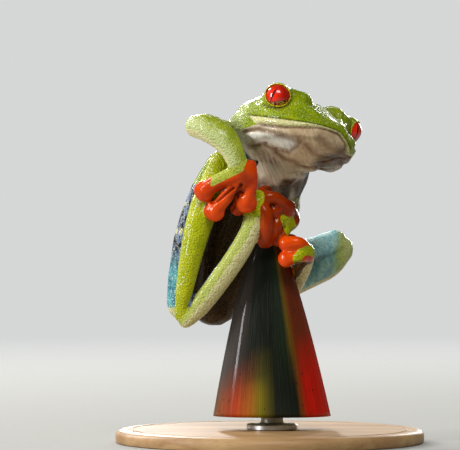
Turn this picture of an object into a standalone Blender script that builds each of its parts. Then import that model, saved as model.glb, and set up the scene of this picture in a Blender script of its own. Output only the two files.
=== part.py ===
"""Red-eyed tree frog (Agalychnis callidryas), life size, gripping the pointed tip of a
Heliconia bract that stands on a plain display base.

World axes: +X is the viewer's right, +Y is away from the viewer, +Z is up. Shapes are worked out in
millimetres and scaled to metres when each piece is finished. "right" and "left" are the frog's own.
"""

import math

import bmesh
import bpy
from mathutils import Matrix, Vector

MM = 0.001
GAP = 0.3  # clearance between touching pieces
SOCKET_GAP = 0.12  # clearance of an eyeball in its lids
FINE_VOXEL = 0.24  # for head, hands and feet
BODY_VOXEL = 0.4  # for trunk and limb lengths

# The display stand and the cut bract
BASE_RADIUS = 28.0
BASE_HEIGHT = 2.4
BASE_EDGE = 0.5
ROD_RADIUS = 2.0
ROD_FOOT_RADIUS = 4.6
ROD_FOOT_HEIGHT = 0.8
ROD_TOP = 10.0
BRACT_FOOT = Vector((0.4, -2.0, 4.9))
BRACT_TIP = Vector((-0.6, -6.2, 40.0))

# The head's own frame: its middle between the eyes, and how it is turned
HEAD_MIDDLE = Vector((7.3, -11.0, 59.4))
HEAD_FORWARD = Vector((0.558, -0.829, -0.014)).normalized()
HEAD_UP = Vector((0.286, 0.176, 0.941)).normalized()
EYE_RADIUS = 2.3
EYE_OPENING = 1.95  # radius of the round gap between the lids
EYE_LID = 0.36  # thickness of the lids over the eyeball
EYE_PLACES = {-1.0: (0.4, -8.0, 0.0), 1.0: (0.4, 8.5, -0.25)}  # side: forward, aside and up
LID_FORWARD_TURN = math.radians(50.0)  # the lids open aside and this much forward

# The direction from the frog's right side to its left across the trunk
TRUNK_ASIDE = Vector((0.8, 0.6, 0.0))


# ---------------------------------------------------------------- scene and materials

for item in list(bpy.data.objects):
    bpy.data.objects.remove(item, do_unlink=True)


def finish(name, colour, roughness, metallic=0.0):
    material = bpy.data.materials.new(name)
    material.use_nodes = True
    shader = material.node_tree.nodes["Principled BSDF"]
    shader.inputs["Base Color"].default_value = (*colour, 1.0)
    shader.inputs["Roughness"].default_value = roughness
    shader.inputs["Metallic"].default_value = metallic
    material.diffuse_color = (*colour, 1.0)
    return material


GREEN_SKIN = finish("green_skin", (0.28, 0.38, 0.02), 0.45)
BLUE_SKIN = finish("blue_skin", (0.05, 0.20, 0.28), 0.45)
ORANGE_SKIN = finish("orange_skin", (0.72, 0.07, 0.01), 0.35)
RED_EYE = finish("red_eye", (0.55, 0.01, 0.01), 0.08)
BRACT_GREEN = finish("bract_green", (0.02, 0.05, 0.02), 0.35)
PALE_WOOD = finish("pale_wood", (0.42, 0.26, 0.13), 0.5)
STEEL = finish("steel", (0.55, 0.55, 0.56), 0.3, 1.0)


# ---------------------------------------------------------------- curves and lofts


def along(values, position):
    """Catmull-Rom value at a position that runs from 0 to the number of spans."""
    span = min(int(position), len(values) - 2)
    t = position - span
    b, c = values[span], values[span + 1]
    a = values[span - 1] if span else b * 2.0 - c
    d = values[span + 2] if span + 2 < len(values) else c * 2.0 - b
    return (b * 2.0 + (c - a) * t + (a * 2.0 - b * 5.0 + c * 4.0 - d) * t**2
            + (b * 3.0 - a - c * 3.0 + d) * t**3) * 0.5


def close_loft(bm, rings):
    """Skin a row of equal rings of points and close both ends with a fan."""
    loops = [[bm.verts.new(point) for point in ring] for ring in rings]
    count = len(rings[0])
    for lower, upper in zip(loops, loops[1:]):
        for i in range(count):
            j = (i + 1) % count
            bm.faces.new((lower[i], lower[j], upper[j], upper[i]))
    for loop in (loops[0], loops[-1]):
        centre = bm.verts.new(sum((v.co for v in loop), Vector()) / count)
        for i in range(count):
            bm.faces.new((loop[i], loop[(i + 1) % count], centre))


def limb(bm, stations, aside, sides=16, steps=6):
    """A rounded limb through stations (centre, half width along aside, half thickness)."""
    centres = [Vector(s[0]) for s in stations]
    widths = [Vector((s[1], s[2], 0.0)) for s in stations]
    spans = len(stations) - 1
    marks = [i / steps for i in range(spans * steps + 1)]
    rings = []

    def ring(centre, heading, size, shrink):
        across = (aside - heading * aside.dot(heading)).normalized()
        through = heading.cross(across)
        wide, thick = across * (size.x * shrink), through * (size.y * shrink)
        turns = (2.0 * math.pi * k / sides for k in range(sides))
        return [centre + wide * math.cos(turn) + thick * math.sin(turn) for turn in turns]

    def cap(mark, heading, outward):
        centre, size = along(centres, mark), along(widths, mark)
        reach = min(size.x, size.y)
        return [
            ring(centre + heading * (outward * reach * math.sin(rise)), heading, size, math.cos(rise))
            for rise in (math.radians(a) for a in (30, 58, 80))
        ]

    first = (along(centres, 0.05) - along(centres, 0.0)).normalized()
    last = (along(centres, spans) - along(centres, spans - 0.05)).normalized()
    rings += reversed(cap(0.0, first, -1.0))
    for mark in marks:
        ahead, behind = min(mark + 0.05, spans), max(mark - 0.05, 0.0)
        heading = (along(centres, ahead) - along(centres, behind)).normalized()
        rings.append(ring(along(centres, mark), heading, along(widths, mark), 1.0))
    rings += cap(spans, last, 1.0)
    close_loft(bm, rings)


def ellipsoid(bm, centre, half_sizes, axes=None, detail=2):
    """A closed ellipsoid; axes are its three directions as columns."""
    frame = axes or Matrix.Identity(3)
    place = Matrix.Translation(centre) @ frame.to_4x4() @ Matrix.Diagonal((*half_sizes, 1.0))
    bmesh.ops.create_icosphere(bm, subdivisions=detail, radius=1.0, matrix=place)


def frame_of(first, second):
    """Three right-angled directions from a first direction and a rough second one."""
    x = Vector(first).normalized()
    z = x.cross(Vector(second)).normalized()
    y = z.cross(x)
    return Matrix((x, y, z)).transposed()


# ---------------------------------------------------------------- finishing a piece


def new_object(name, bm):
    bmesh.ops.recalc_face_normals(bm, faces=bm.faces)
    mesh = bpy.data.meshes.new(name)
    bm.to_mesh(mesh)
    bm.free()
    item = bpy.data.objects.new(name, mesh)
    bpy.context.scene.collection.objects.link(item)
    return item


def apply_modifiers(item):
    evaluated = item.evaluated_get(bpy.context.evaluated_depsgraph_get())
    mesh = bpy.data.meshes.new_from_object(evaluated)
    item.modifiers.clear()
    old = item.data
    item.data = mesh
    bpy.data.meshes.remove(old)


def keep_largest(item):
    """Drop the crumbs that a cut leaves loose."""
    bm = bmesh.new()
    bm.from_mesh(item.data)
    left, islands = set(bm.verts), []
    while left:
        seed = left.pop()
        island, front = {seed}, [seed]
        while front:
            vert = front.pop()
            for edge in vert.link_edges:
                other = edge.other_vert(vert)
                if other in left:
                    left.discard(other)
                    island.add(other)
                    front.append(other)
        islands.append(island)
    islands.sort(key=len)
    loose = [vert for island in islands[:-1] for vert in island]
    bmesh.ops.delete(bm, geom=loose, context="VERTS")
    bm.to_mesh(item.data)
    bm.free()


def thin_out(item, triangles):
    count = sum(len(face.vertices) - 2 for face in item.data.polygons)
    decimate = item.modifiers.new("thin_out", "DECIMATE")
    decimate.ratio = min(1.0, triangles / count)
    decimate.use_collapse_triangulate = True
    apply_modifiers(item)


def knit(name, bm, voxel, smoothing, triangles):
    """Join overlapping shapes into one soft skin with about this many triangles."""
    item = new_object(name, bm)
    remesh = item.modifiers.new("join", "REMESH")
    remesh.mode = "VOXEL"
    remesh.voxel_size = voxel
    smooth = item.modifiers.new("soften", "SMOOTH")
    smooth.factor = 0.5
    smooth.iterations = smoothing
    apply_modifiers(item)
    keep_largest(item)
    thin_out(item, triangles)
    item["triangles"] = triangles
    return item


def swollen(item, by=GAP):
    """A hidden copy that is larger by the clearance, used as a cutter."""
    cutter = item.copy()
    cutter.data = item.data.copy()
    cutter.name = f"cutter_{item.name}"
    bpy.context.scene.collection.objects.link(cutter)
    grow = cutter.modifiers.new("grow", "DISPLACE")
    grow.strength = by
    grow.mid_level = 0.0
    apply_modifiers(cutter)
    return cutter


def touching(item, other):
    boxes = [[Vector(c) for c in thing.bound_box] for thing in (item, other)]
    return all(
        min(c[k] for c in boxes[0]) < max(c[k] for c in boxes[1]) + GAP
        and min(c[k] for c in boxes[1]) < max(c[k] for c in boxes[0]) + GAP
        for k in range(3)
    )


def take_away(item, cutter):
    """Cut a piece with a cutter, which is used up."""
    cutter.hide_render = True
    cutter.display_type = "WIRE"
    cut = item.modifiers.new("clear", "BOOLEAN")
    cut.operation = "DIFFERENCE"
    cut.solver = "EXACT"
    cut.use_self = True  # a swollen hand folds over itself between the fingers
    cut.object = cutter
    apply_modifiers(item)
    bpy.data.objects.remove(cutter, do_unlink=True)
    keep_largest(item)


def cut_clear(item, neighbours):
    """Cut a piece back from each neighbour by the clearance."""
    for other in neighbours:
        if touching(item, other):
            take_away(item, swollen(other))


def complete(item, material):
    """Scale a piece to metres, give it its material and shade it smooth."""
    item.data.transform(Matrix.Scale(MM, 4))
    item.data.materials.clear()
    item.data.materials.append(material)
    item.data.shade_smooth()
    item.data.update()


# ---------------------------------------------------------------- display stand and bract


def turned(name, profile, sides):
    """A turned solid from (radius, height) points, the first and last on the axis."""
    bm = bmesh.new()
    verts = [bm.verts.new((radius, 0.0, height)) for radius, height in profile]
    edges = [bm.edges.new(pair) for pair in zip(verts, verts[1:])]
    bmesh.ops.spin(bm, geom=verts + edges, axis=(0, 0, 1), cent=(0, 0, 0), steps=sides,
                   angle=2.0 * math.pi, use_merge=True)
    bmesh.ops.remove_doubles(bm, verts=bm.verts, dist=0.001)
    return new_object(name, bm)


def make_stand():
    base = turned("stand_base", (
        (0.0, 0.0), (BASE_RADIUS, 0.0), (BASE_RADIUS, BASE_HEIGHT - BASE_EDGE),
        (BASE_RADIUS - BASE_EDGE, BASE_HEIGHT), (0.0, BASE_HEIGHT)), 48)
    foot = BASE_HEIGHT + GAP
    rod = turned("stand_rod", (
        (0.0, foot), (ROD_FOOT_RADIUS, foot), (ROD_FOOT_RADIUS, foot + ROD_FOOT_HEIGHT),
        (ROD_RADIUS, foot + ROD_FOOT_HEIGHT), (ROD_RADIUS, ROD_TOP), (0.0, ROD_TOP)), 20)
    rod.data.transform(Matrix.Translation((BRACT_FOOT.x, BRACT_FOOT.y, 0.0)))
    return base, rod


def make_bract():
    """A folded, boat-shaped bract cut square below: round keel in front, open fold behind."""
    heights = (0.0, 0.14, 0.32, 0.52, 0.7, 0.83, 0.92, 0.97, 1.0)
    half_widths = (10.5, 9.5, 8.1, 6.5, 4.6, 3.2, 2.0, 1.2, 0.35)
    sides = 32
    rings = []
    for height, half_width in zip(heights, half_widths):
        centre = BRACT_FOOT.lerp(BRACT_TIP, height)
        ring = []
        for k in range(sides):
            turn = 2.0 * math.pi * k / sides - math.pi / 2.0
            fold = math.exp(-((abs(turn - math.pi / 2.0) / 0.32) ** 2))
            across = half_width * math.copysign(abs(math.cos(turn)) ** 0.85, math.cos(turn))
            depth = half_width * math.sin(turn) * (0.62 - (0.23 + 0.11 * height) * fold)
            ring.append(centre + Vector((across, depth, 0.0)))
        rings.append(ring)
    bm = bmesh.new()
    close_loft(bm, rings)
    item = new_object("perch_bract", bm)
    return item


# ---------------------------------------------------------------- head and eyes


def head_point(forward, left, up):
    aside = HEAD_UP.cross(HEAD_FORWARD)
    return HEAD_MIDDLE + HEAD_FORWARD * forward + aside * left + HEAD_UP * up


# forward, top height, ridge half width, lip half width, lip height, jaw half width, jaw height,
# throat height
HEAD_STATIONS = (
    (10.0, -3.3, 0.9, 2.2, -4.6, 1.7, -5.6, -6.0),
    (9.3, -2.5, 1.6, 4.0, -4.3, 3.4, -5.9, -6.6),
    (7.9, -1.7, 2.4, 5.7, -4.2, 5.0, -6.2, -7.1),
    (6.0, -0.8, 3.1, 7.1, -4.2, 6.5, -6.5, -7.6),
    (3.6, 0.4, 3.8, 8.5, -4.4, 7.8, -6.9, -8.1),
    (1.0, 1.5, 4.6, 9.6, -4.5, 8.7, -7.4, -8.7),
    (-2.0, 2.0, 5.6, 10.4, -4.5, 9.1, -7.9, -9.7),
    (-5.0, 1.7, 6.4, 10.7, -4.4, 8.9, -7.2, -11.0),
    (-8.0, 0.8, 6.6, 10.2, -4.4, 8.4, -6.9, -11.5),
    (-10.8, -0.4, 6.0, 9.0, -4.4, 7.4, -6.8, -10.8),
    (-13.0, -1.9, 4.8, 7.0, -4.6, 5.6, -6.5, -9.3),
    (-14.6, -3.6, 2.8, 4.4, -5.2, 3.6, -6.2, -7.8),
)


def head_ring(station, sides=60):
    forward, top, ridge, lip, lip_height, jaw, jaw_height, throat = station
    cheek = top - lip_height
    half = (
        (0.0, top), (ridge * 0.6, top - cheek * 0.02), (ridge, top - cheek * 0.1),
        ((ridge + lip) * 0.53, top - cheek * 0.45), (lip * 0.95, lip_height + cheek * 0.2),
        (lip, lip_height), ((lip + jaw) * 0.51, (lip_height + jaw_height) * 0.5),
        (jaw, jaw_height), (jaw * 0.8, jaw_height * 0.88 + throat * 0.12),
        (jaw * 0.5, jaw_height * 0.3 + throat * 0.7), (0.0, throat),
    )
    outline = [Vector((left, up)) for left, up in half]
    outline += [Vector((-v.x, v.y)) for v in outline[-2:0:-1]]
    outline.append(outline[0])
    spans = len(outline) - 1
    ring = []
    for k in range(sides):
        v = along(outline, spans * k / sides)
        ring.append(head_point(forward, v.x, v.y))
    return ring


def eye_centre(side):
    return head_point(*EYE_PLACES[side])


def lid_axis(side):
    aside = HEAD_UP.cross(HEAD_FORWARD)
    return aside * (side * math.cos(LID_FORWARD_TURN)) + HEAD_FORWARD * math.sin(LID_FORWARD_TURN)


def make_eye(name, side):
    bm = bmesh.new()
    bmesh.ops.create_icosphere(bm, subdivisions=3, radius=EYE_RADIUS,
                               matrix=Matrix.Translation(eye_centre(side)))
    return new_object(name, bm)


def make_head():
    bm = bmesh.new()
    close_loft(bm, [head_ring(station) for station in HEAD_STATIONS])
    aside = HEAD_UP.cross(HEAD_FORWARD)
    axes = Matrix((HEAD_FORWARD, aside, HEAD_UP)).transposed()
    for side in (-1.0, 1.0):
        # the lids round the eyeball, then the brow and the cheek that carry them
        lids = EYE_RADIUS + EYE_LID
        eye_aside = EYE_PLACES[side][1]
        ellipsoid(bm, eye_centre(side), (lids, lids, lids), axes, 3)
        brow = head_point(-0.3, eye_aside - 1.6 * side, -0.5)
        ellipsoid(bm, brow, (3.5, 2.6, 3.0), axes, 3)
        inner_brow = head_point(0.3, eye_aside - 3.9 * side, 0.7)
        ellipsoid(bm, inner_brow, (3.4, 2.6, 2.0), axes, 3)
        cheek = head_point(-3.0, 6.9 * side, -1.7)
        ellipsoid(bm, cheek, (4.6, 2.3, 2.6), axes, 3)
        # the blunt ridge that runs from the eye to the nostril
        limb(bm, (
            (head_point(2.2, 5.4 * side, -0.2), 1.1, 1.0),
            (head_point(5.4, 3.6 * side, -1.6), 1.0, 0.9),
            (head_point(8.0, 2.4 * side, -2.9), 0.8, 0.7)), HEAD_UP, 12, 4)
    head = knit("head", bm, FINE_VOXEL, 7, 1410)
    for side in (-1.0, 1.0):
        # the round opening between the lids
        opening = bmesh.new()
        turn = Vector((0, 0, 1)).rotation_difference(lid_axis(side)).to_matrix().to_4x4()
        place = Matrix.Translation(eye_centre(side) + lid_axis(side) * 3.0) @ turn
        bmesh.ops.create_cone(opening, cap_ends=True, segments=28, radius1=EYE_OPENING * 0.95,
                              radius2=EYE_OPENING * 1.2, depth=4.4, matrix=place)
        take_away(head, new_object("eye_opening", opening))
    return head


# ---------------------------------------------------------------- trunk and limbs


def make_trunk():
    stations = (
        ((0.6, -4.8, 54.6), 6.0, 4.4),
        ((0.3, -3.2, 52.6), 8.0, 6.2),
        ((-1.3, -0.8, 49.4), 9.0, 7.2),
        ((-3.4, 2.4, 44.6), 8.8, 7.2),
        ((-5.4, 5.0, 39.4), 8.3, 6.9),
        ((-7.4, 7.2, 33.6), 7.6, 6.6),
        ((-9.2, 8.4, 28.8), 6.8, 5.8),
        ((-10.2, 8.6, 25.6), 5.0, 4.6),
    )
    bm = bmesh.new()
    limb(bm, stations, TRUNK_ASIDE, 28, 5)
    # loose throat skin that sags from the jaw to the chest
    ellipsoid(bm, Vector((1.8, -7.4, 50.4)), (4.8, 4.4, 4.4))
    # the raised middle of the back over the hip bones
    spine = (
        ((-6.0, 11.2, 37.6), 2.8, 1.8),
        ((-8.4, 12.5, 32.0), 3.6, 2.0),
        ((-10.0, 11.6, 27.0), 2.6, 2.0),
    )
    limb(bm, spine, TRUNK_ASIDE)
    for side in (-1.0, 1.0):
        # the flesh that carries each thigh and each arm
        hip = Vector((-8.8, 8.6, 29.0)) + TRUNK_ASIDE * (3.9 * side)
        ellipsoid(bm, hip, (3.8, 3.8, 5.4))
        shoulder = Vector((-0.8, -0.4, 51.2)) + TRUNK_ASIDE * (4.3 * side)
        ellipsoid(bm, shoulder, (3.6, 3.6, 4.0))
    return knit("trunk", bm, BODY_VOXEL, 16, 840)


# stations of each limb length from the body outwards, and its count of triangles
LIMBS = {
    "upper_arm_right": ((
        ((-5.6, -4.4, 55.0), 2.5, 2.4), ((-9.4, -8.2, 56.4), 2.0, 2.0),
        ((-12.2, -10.6, 57.1), 1.9, 1.9)), 190),
    "forearm_right": ((
        ((-13.1, -11.4, 57.0), 2.1, 2.0), ((-11.0, -12.9, 56.6), 2.6, 2.3),
        ((-8.4, -14.4, 54.9), 2.4, 2.1), ((-6.7, -15.3, 52.5), 1.95, 1.7),
        ((-5.8, -15.5, 50.2), 1.75, 1.5)), 260),
    "thigh_right": ((
        ((-15.4, 1.8, 25.2), 3.2, 3.5), ((-15.0, 0.2, 30.6), 3.2, 3.5),
        ((-13.8, -2.8, 37.4), 3.2, 3.3), ((-11.8, -5.4, 44.4), 2.8, 2.8),
        ((-9.0, -6.4, 50.2), 2.4, 2.2)), 280),
    "shank_right": ((
        ((-8.3, -8.8, 50.6), 2.4, 2.3), ((-10.0, -9.6, 46.6), 2.5, 2.3),
        ((-12.2, -10.0, 41.4), 2.4, 2.3), ((-13.9, -9.9, 35.0), 1.95, 2.1),
        ((-15.2, -9.2, 28.4), 1.5, 1.7), ((-15.8, -7.6, 23.2), 1.25, 1.4)), 280),
    "tarsus_right": ((
        ((-15.1, -7.7, 22.4), 1.35, 1.4), ((-12.6, -8.6, 25.0), 1.8, 1.4),
        ((-8.6, -9.8, 30.2), 1.9, 1.4), ((-5.1, -10.9, 35.4), 1.85, 1.4),
        ((-3.6, -11.0, 38.8), 1.65, 1.35), ((-3.1, -10.9, 41.6), 1.4, 1.25)), 260),
    "upper_arm_left": ((
        ((2.3, 0.8, 52.2), 2.5, 2.3), ((4.0, 4.2, 50.4), 2.1, 2.0),
        ((4.8, 6.9, 48.6), 1.9, 1.9)), 180),
    "forearm_left": ((
        ((4.8, 6.8, 48.2), 1.9, 1.9), ((3.9, 3.8, 46.6), 1.9, 1.9),
        ((3.8, 0.2, 43.8), 1.6, 1.6), ((3.9, -3.2, 41.4), 1.5, 1.4)), 200),
    "thigh_left": ((
        ((-5.0, 9.6, 27.6), 3.6, 3.4), ((0.4, 13.2, 30.2), 3.5, 3.3),
        ((6.8, 18.2, 33.4), 3.0, 2.8), ((12.6, 22.8, 36.0), 2.5, 2.4)), 240),
    "shank_left": ((
        ((13.4, 22.9, 34.9), 2.6, 2.5), ((11.4, 19.4, 31.8), 2.1, 2.1),
        ((7.2, 14.2, 29.6), 1.9, 2.0), ((3.4, 9.0, 27.6), 1.6, 1.7),
        ((1.2, 5.6, 26.6), 1.5, 1.6)), 240),
    "tarsus_left": ((
        ((1.6, 4.4, 26.6), 1.4, 1.4), ((4.0, 1.2, 28.0), 1.6, 1.4),
        ((5.6, -3.0, 31.0), 1.5, 1.4), ((6.6, -7.0, 33.6), 1.4, 1.3)), 220),
}


def make_limb(name):
    stations, triangles = LIMBS[name]
    bm = bmesh.new()
    limb(bm, stations, Vector((1.0, 0.25, 0.0)))
    return knit(name, bm, BODY_VOXEL, 3, triangles)


# ---------------------------------------------------------------- hands and feet


def palm(bm, stations, aside):
    limb(bm, stations, Vector(aside))


def digit(bm, thickness, disc, facing, *joints):
    """A finger or toe through its joints, ending in a flat round disc that faces this way."""
    points = [Vector(joint) for joint in joints]
    heading = points[-1] - points[-2]
    across = Vector(facing).cross(heading)
    thick = thickness * 0.9
    stations = [(points[0], thickness * 1.2, thick)]
    stations += [(point, thickness, thick) for point in points[1:]]
    limb(bm, stations, across, 12, 5)
    ellipsoid(bm, points[-1], (disc * 0.95, disc, 0.7), frame_of(heading, across), 3)


def hand_right(bm):
    """Four fingers spread on the shank; the outer two reach furthest."""
    palm(bm, (
        ((-5.7, -15.4, 49.8), 1.8, 1.4), ((-4.9, -14.9, 48.4), 2.3, 1.3),
        ((-4.7, -14.6, 47.0), 2.0, 1.1)), (1, 0, 0))
    front = (0.0, -1.0, 0.15)
    digit(bm, 1.3, 1.85, front, (-5.4, -15.1, 48.8), (-8.0, -14.8, 47.7),
          (-10.2, -14.0, 46.6), (-11.8, -13.4, 45.4))
    digit(bm, 1.1, 1.8, front, (-4.9, -14.7, 47.8), (-6.7, -14.3, 45.8),
          (-8.4, -13.7, 43.7), (-9.9, -13.2, 41.8))
    digit(bm, 1.0, 1.9, front, (-3.8, -14.7, 50.0), (-3.4, -14.5, 47.6),
          (-3.7, -14.0, 45.2), (-4.3, -13.5, 43.3))
    digit(bm, 0.8, 1.2, front, (-4.5, -14.0, 47.2), (-5.2, -12.6, 45.6),
          (-5.6, -11.4, 43.8), (-5.9, -10.9, 42.2))


def hand_left(bm):
    """Closed over the tip of the bract, with skin between the bases of the fingers."""
    palm(bm, (
        ((3.7, -3.9, 41.2), 1.5, 1.4), ((3.4, -5.8, 40.2), 1.8, 1.4),
        ((2.8, -7.2, 39.4), 1.5, 1.3)), (1, 0, 0))
    front = (0.25, -1.0, 0.2)
    ellipsoid(bm, Vector((2.0, -8.4, 39.6)), (1.4, 0.8, 1.7))
    digit(bm, 1.05, 1.5, front, (3.0, -7.2, 40.2), (1.9, -8.8, 40.6),
          (0.9, -9.7, 39.2), (0.3, -9.7, 37.9))
    digit(bm, 1.05, 1.5, front, (3.2, -6.6, 40.8), (3.2, -8.0, 42.0),
          (1.9, -9.2, 42.6), (0.5, -9.6, 41.8))
    digit(bm, 0.85, 1.3, front, (2.8, -7.6, 39.0), (2.5, -8.8, 38.0), (1.4, -9.2, 36.8))
    digit(bm, 0.75, 1.2, (0.0, 0.3, -1.0), (3.2, -5.2, 41.2), (2.0, -5.0, 42.8),
          (0.4, -5.0, 43.6))


def foot_right(bm):
    """Two toes in front of the bract's tip, a short one above, two round the side."""
    palm(bm, (
        ((-3.1, -10.9, 41.4), 1.4, 1.25), ((-2.6, -10.6, 43.0), 1.6, 1.3),
        ((-2.0, -10.2, 44.2), 1.35, 1.15)), (1, 0, 0))
    front = (0.2, -1.0, 0.25)
    digit(bm, 1.0, 1.5, front, (-1.8, -10.3, 44.0), (0.4, -10.5, 44.4),
          (2.2, -9.6, 43.4), (3.2, -8.8, 42.4))
    digit(bm, 1.0, 1.5, front, (-1.9, -10.8, 43.2), (-0.7, -11.3, 41.2),
          (-0.7, -11.1, 38.6), (-0.8, -10.1, 36.6))
    digit(bm, 0.75, 1.0, (0.3, -0.4, 1.0), (-2.0, -10.2, 44.4), (-1.4, -9.4, 45.6),
          (-0.6, -8.2, 45.4))
    digit(bm, 0.8, 1.3, (-1.0, 0.0, 0.1), (-2.6, -9.6, 42.4), (-2.8, -7.6, 41.6),
          (-2.4, -5.2, 40.6))
    digit(bm, 0.8, 1.3, (-1.0, 0.0, 0.1), (-2.8, -9.8, 41.4), (-3.3, -7.8, 39.8),
          (-3.6, -5.6, 38.2))


def foot_left(bm):
    """Two toes in front of the bract and three along its side."""
    palm(bm, (
        ((6.7, -7.2, 33.8), 1.4, 1.2), ((6.5, -8.8, 34.4), 1.6, 1.2),
        ((5.8, -9.8, 34.6), 1.4, 1.1)), (0.3, 0, 1))
    front = (0.3, -1.0, 0.1)
    ellipsoid(bm, Vector((5.1, -10.3, 34.9)), (1.5, 0.7, 1.2))
    digit(bm, 1.0, 1.4, front, (6.2, -9.4, 35.2), (5.4, -10.5, 36.1),
          (4.2, -10.7, 36.3), (2.8, -10.4, 36.1))
    digit(bm, 1.0, 1.5, front, (6.0, -9.8, 34.2), (5.0, -10.8, 33.7),
          (4.0, -10.9, 33.5), (2.8, -10.6, 33.4))
    digit(bm, 0.8, 1.3, (1.0, 0.0, 0.5), (6.2, -8.6, 35.4), (5.4, -7.0, 36.2),
          (4.2, -5.2, 36.6))
    digit(bm, 0.8, 1.3, (1.0, 0.0, 0.3), (6.4, -8.0, 34.4), (5.2, -6.4, 34.6),
          (4.6, -4.6, 34.4))
    digit(bm, 0.75, 1.1, (1.0, 0.0, 0.3), (6.2, -8.2, 33.4), (5.2, -7.2, 32.0),
          (4.7, -5.8, 31.2))


# ---------------------------------------------------------------- build, then part the pieces

stand_base, stand_rod = make_stand()
bract = make_bract()
eyes = [make_eye("eye_right", -1.0), make_eye("eye_left", 1.0)]
head = make_head()
trunk = make_trunk()
limbs = {name: make_limb(name) for name in LIMBS}
extremities = []
for make in (hand_right, hand_left, foot_right, foot_left):
    shape = bmesh.new()
    make(shape)
    extremities.append(knit(make.__name__, shape, FINE_VOXEL, 2, 680))
right_hand, left_hand, right_foot, left_foot = extremities

cut_clear(bract, [stand_rod])
for eye in eyes:
    take_away(head, swollen(eye, SOCKET_GAP))

done = [stand_rod, bract, *eyes, head]
order = [right_hand, right_foot, left_hand, left_foot]
order += [limbs[name] for name in (
    "forearm_right", "tarsus_right", "shank_right", "forearm_left", "tarsus_left", "shank_left",
    "upper_arm_right", "upper_arm_left", "thigh_right", "thigh_left")]
for piece in order + [trunk]:
    cut_clear(piece, done)
    thin_out(piece, piece["triangles"])
    done.append(piece)

complete(stand_base, PALE_WOOD)
complete(stand_rod, STEEL)
complete(bract, BRACT_GREEN)
complete(head, GREEN_SKIN)
complete(trunk, GREEN_SKIN)
for eye in eyes:
    complete(eye, RED_EYE)
for piece in extremities:
    complete(piece, ORANGE_SKIN)
for name, piece in limbs.items():
    complete(piece, BLUE_SKIN if name.startswith("thigh") else GREEN_SKIN)
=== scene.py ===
"""Red-eyed tree frog on a cut bract: the skin, eyes, bract and stand of a life-size museum model.

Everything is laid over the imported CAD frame. Shapes are worked out in millimetres and scaled to metres
when a piece is finished. "right" and "left" are the frog's own; the viewer sees its right side.
"""
import math
from functools import partial

import bmesh
import bpy
import numpy as np
from mathutils import Matrix, Vector
from mathutils.bvhtree import BVHTree


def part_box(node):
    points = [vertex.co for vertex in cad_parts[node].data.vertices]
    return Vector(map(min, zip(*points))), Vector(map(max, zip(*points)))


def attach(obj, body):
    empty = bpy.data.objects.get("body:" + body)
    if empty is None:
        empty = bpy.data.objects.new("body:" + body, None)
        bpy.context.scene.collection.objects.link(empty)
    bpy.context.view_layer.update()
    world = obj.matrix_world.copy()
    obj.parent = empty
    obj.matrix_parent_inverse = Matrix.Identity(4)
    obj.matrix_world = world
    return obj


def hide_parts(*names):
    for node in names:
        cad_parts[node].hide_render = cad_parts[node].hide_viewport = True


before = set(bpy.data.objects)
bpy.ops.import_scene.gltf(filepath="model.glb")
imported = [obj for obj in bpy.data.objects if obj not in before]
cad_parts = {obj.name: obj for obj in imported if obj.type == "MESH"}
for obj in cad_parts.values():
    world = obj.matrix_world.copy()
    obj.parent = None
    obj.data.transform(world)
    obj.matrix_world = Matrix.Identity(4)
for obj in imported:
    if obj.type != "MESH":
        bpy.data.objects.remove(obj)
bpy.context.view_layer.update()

# ---------------------------------------------------------------- camera
# A long lens, held level at the height of the frog's belly and about 0.6 m in front of it, so that
# the whole frog and the upper bract fill the picture.

CAMERA_PLACE = (-0.0072, -0.605, 0.03942)
CAMERA_REACH = 0.600
VIEW_WIDTH = 0.0828  # metres across the picture at the frog

lens = bpy.data.cameras.new("camera")
lens.sensor_width = 36.0
lens.lens = lens.sensor_width * CAMERA_REACH / VIEW_WIDTH
lens.clip_start = 0.01
lens.clip_end = 30.0
camera = bpy.data.objects.new("camera", lens)
camera.location = CAMERA_PLACE
camera.rotation_euler = (math.radians(90.0), 0.0, 0.0)
bpy.context.scene.collection.objects.link(camera)
bpy.context.scene.camera = camera

# ---------------------------------------------------------------- floor
# A pale matte studio floor of painted board. It fades into the pale room some way off, so that no
# far edge shows.

FLOOR_RADIUS = 3.0
FLOOR_FADE = (0.1, 0.6)  # metres from the middle where the floor starts and ends its fade
ROLLER_GRAIN = 10 / 9  # millimetres


def srgb(code):
    """Linear colour from a six-figure hex code."""
    levels = [int(code[i:i + 2], 16) / 255.0 for i in (1, 3, 5)]
    return [c / 12.92 if c <= 0.04045 else ((c + 0.055) / 1.055) ** 2.4 for c in levels] + [1.0]


def add_node(nodes, kind, inputs=None, stops=(), **settings):
    """A new shader node. Each input is a value, or (node, output) for a link.

    The stops of a colour ramp are (position, hex code) pairs.
    """
    node = nodes.new("ShaderNode" + kind)
    for name, value in settings.items():
        setattr(node, name, value)
    for name, value in (inputs or {}).items():
        if isinstance(value, tuple) and isinstance(value[0], bpy.types.Node):
            nodes.id_data.links.new(value[0].outputs[value[1]], node.inputs[name])
        else:
            node.inputs[name].default_value = value
    if stops:
        ramp = node.color_ramp.elements
        while len(ramp) < len(stops):
            ramp.new(0.5)
        for element, (position, code) in zip(ramp, stops):
            element.position = position
            element.color = srgb(code)
    return node


def new_material(name):
    """An empty material, and add_node made ready for it."""
    material = bpy.data.materials.new(name)
    material.use_nodes = True
    material.node_tree.nodes.clear()
    return material, partial(add_node, material.node_tree.nodes)


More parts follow.
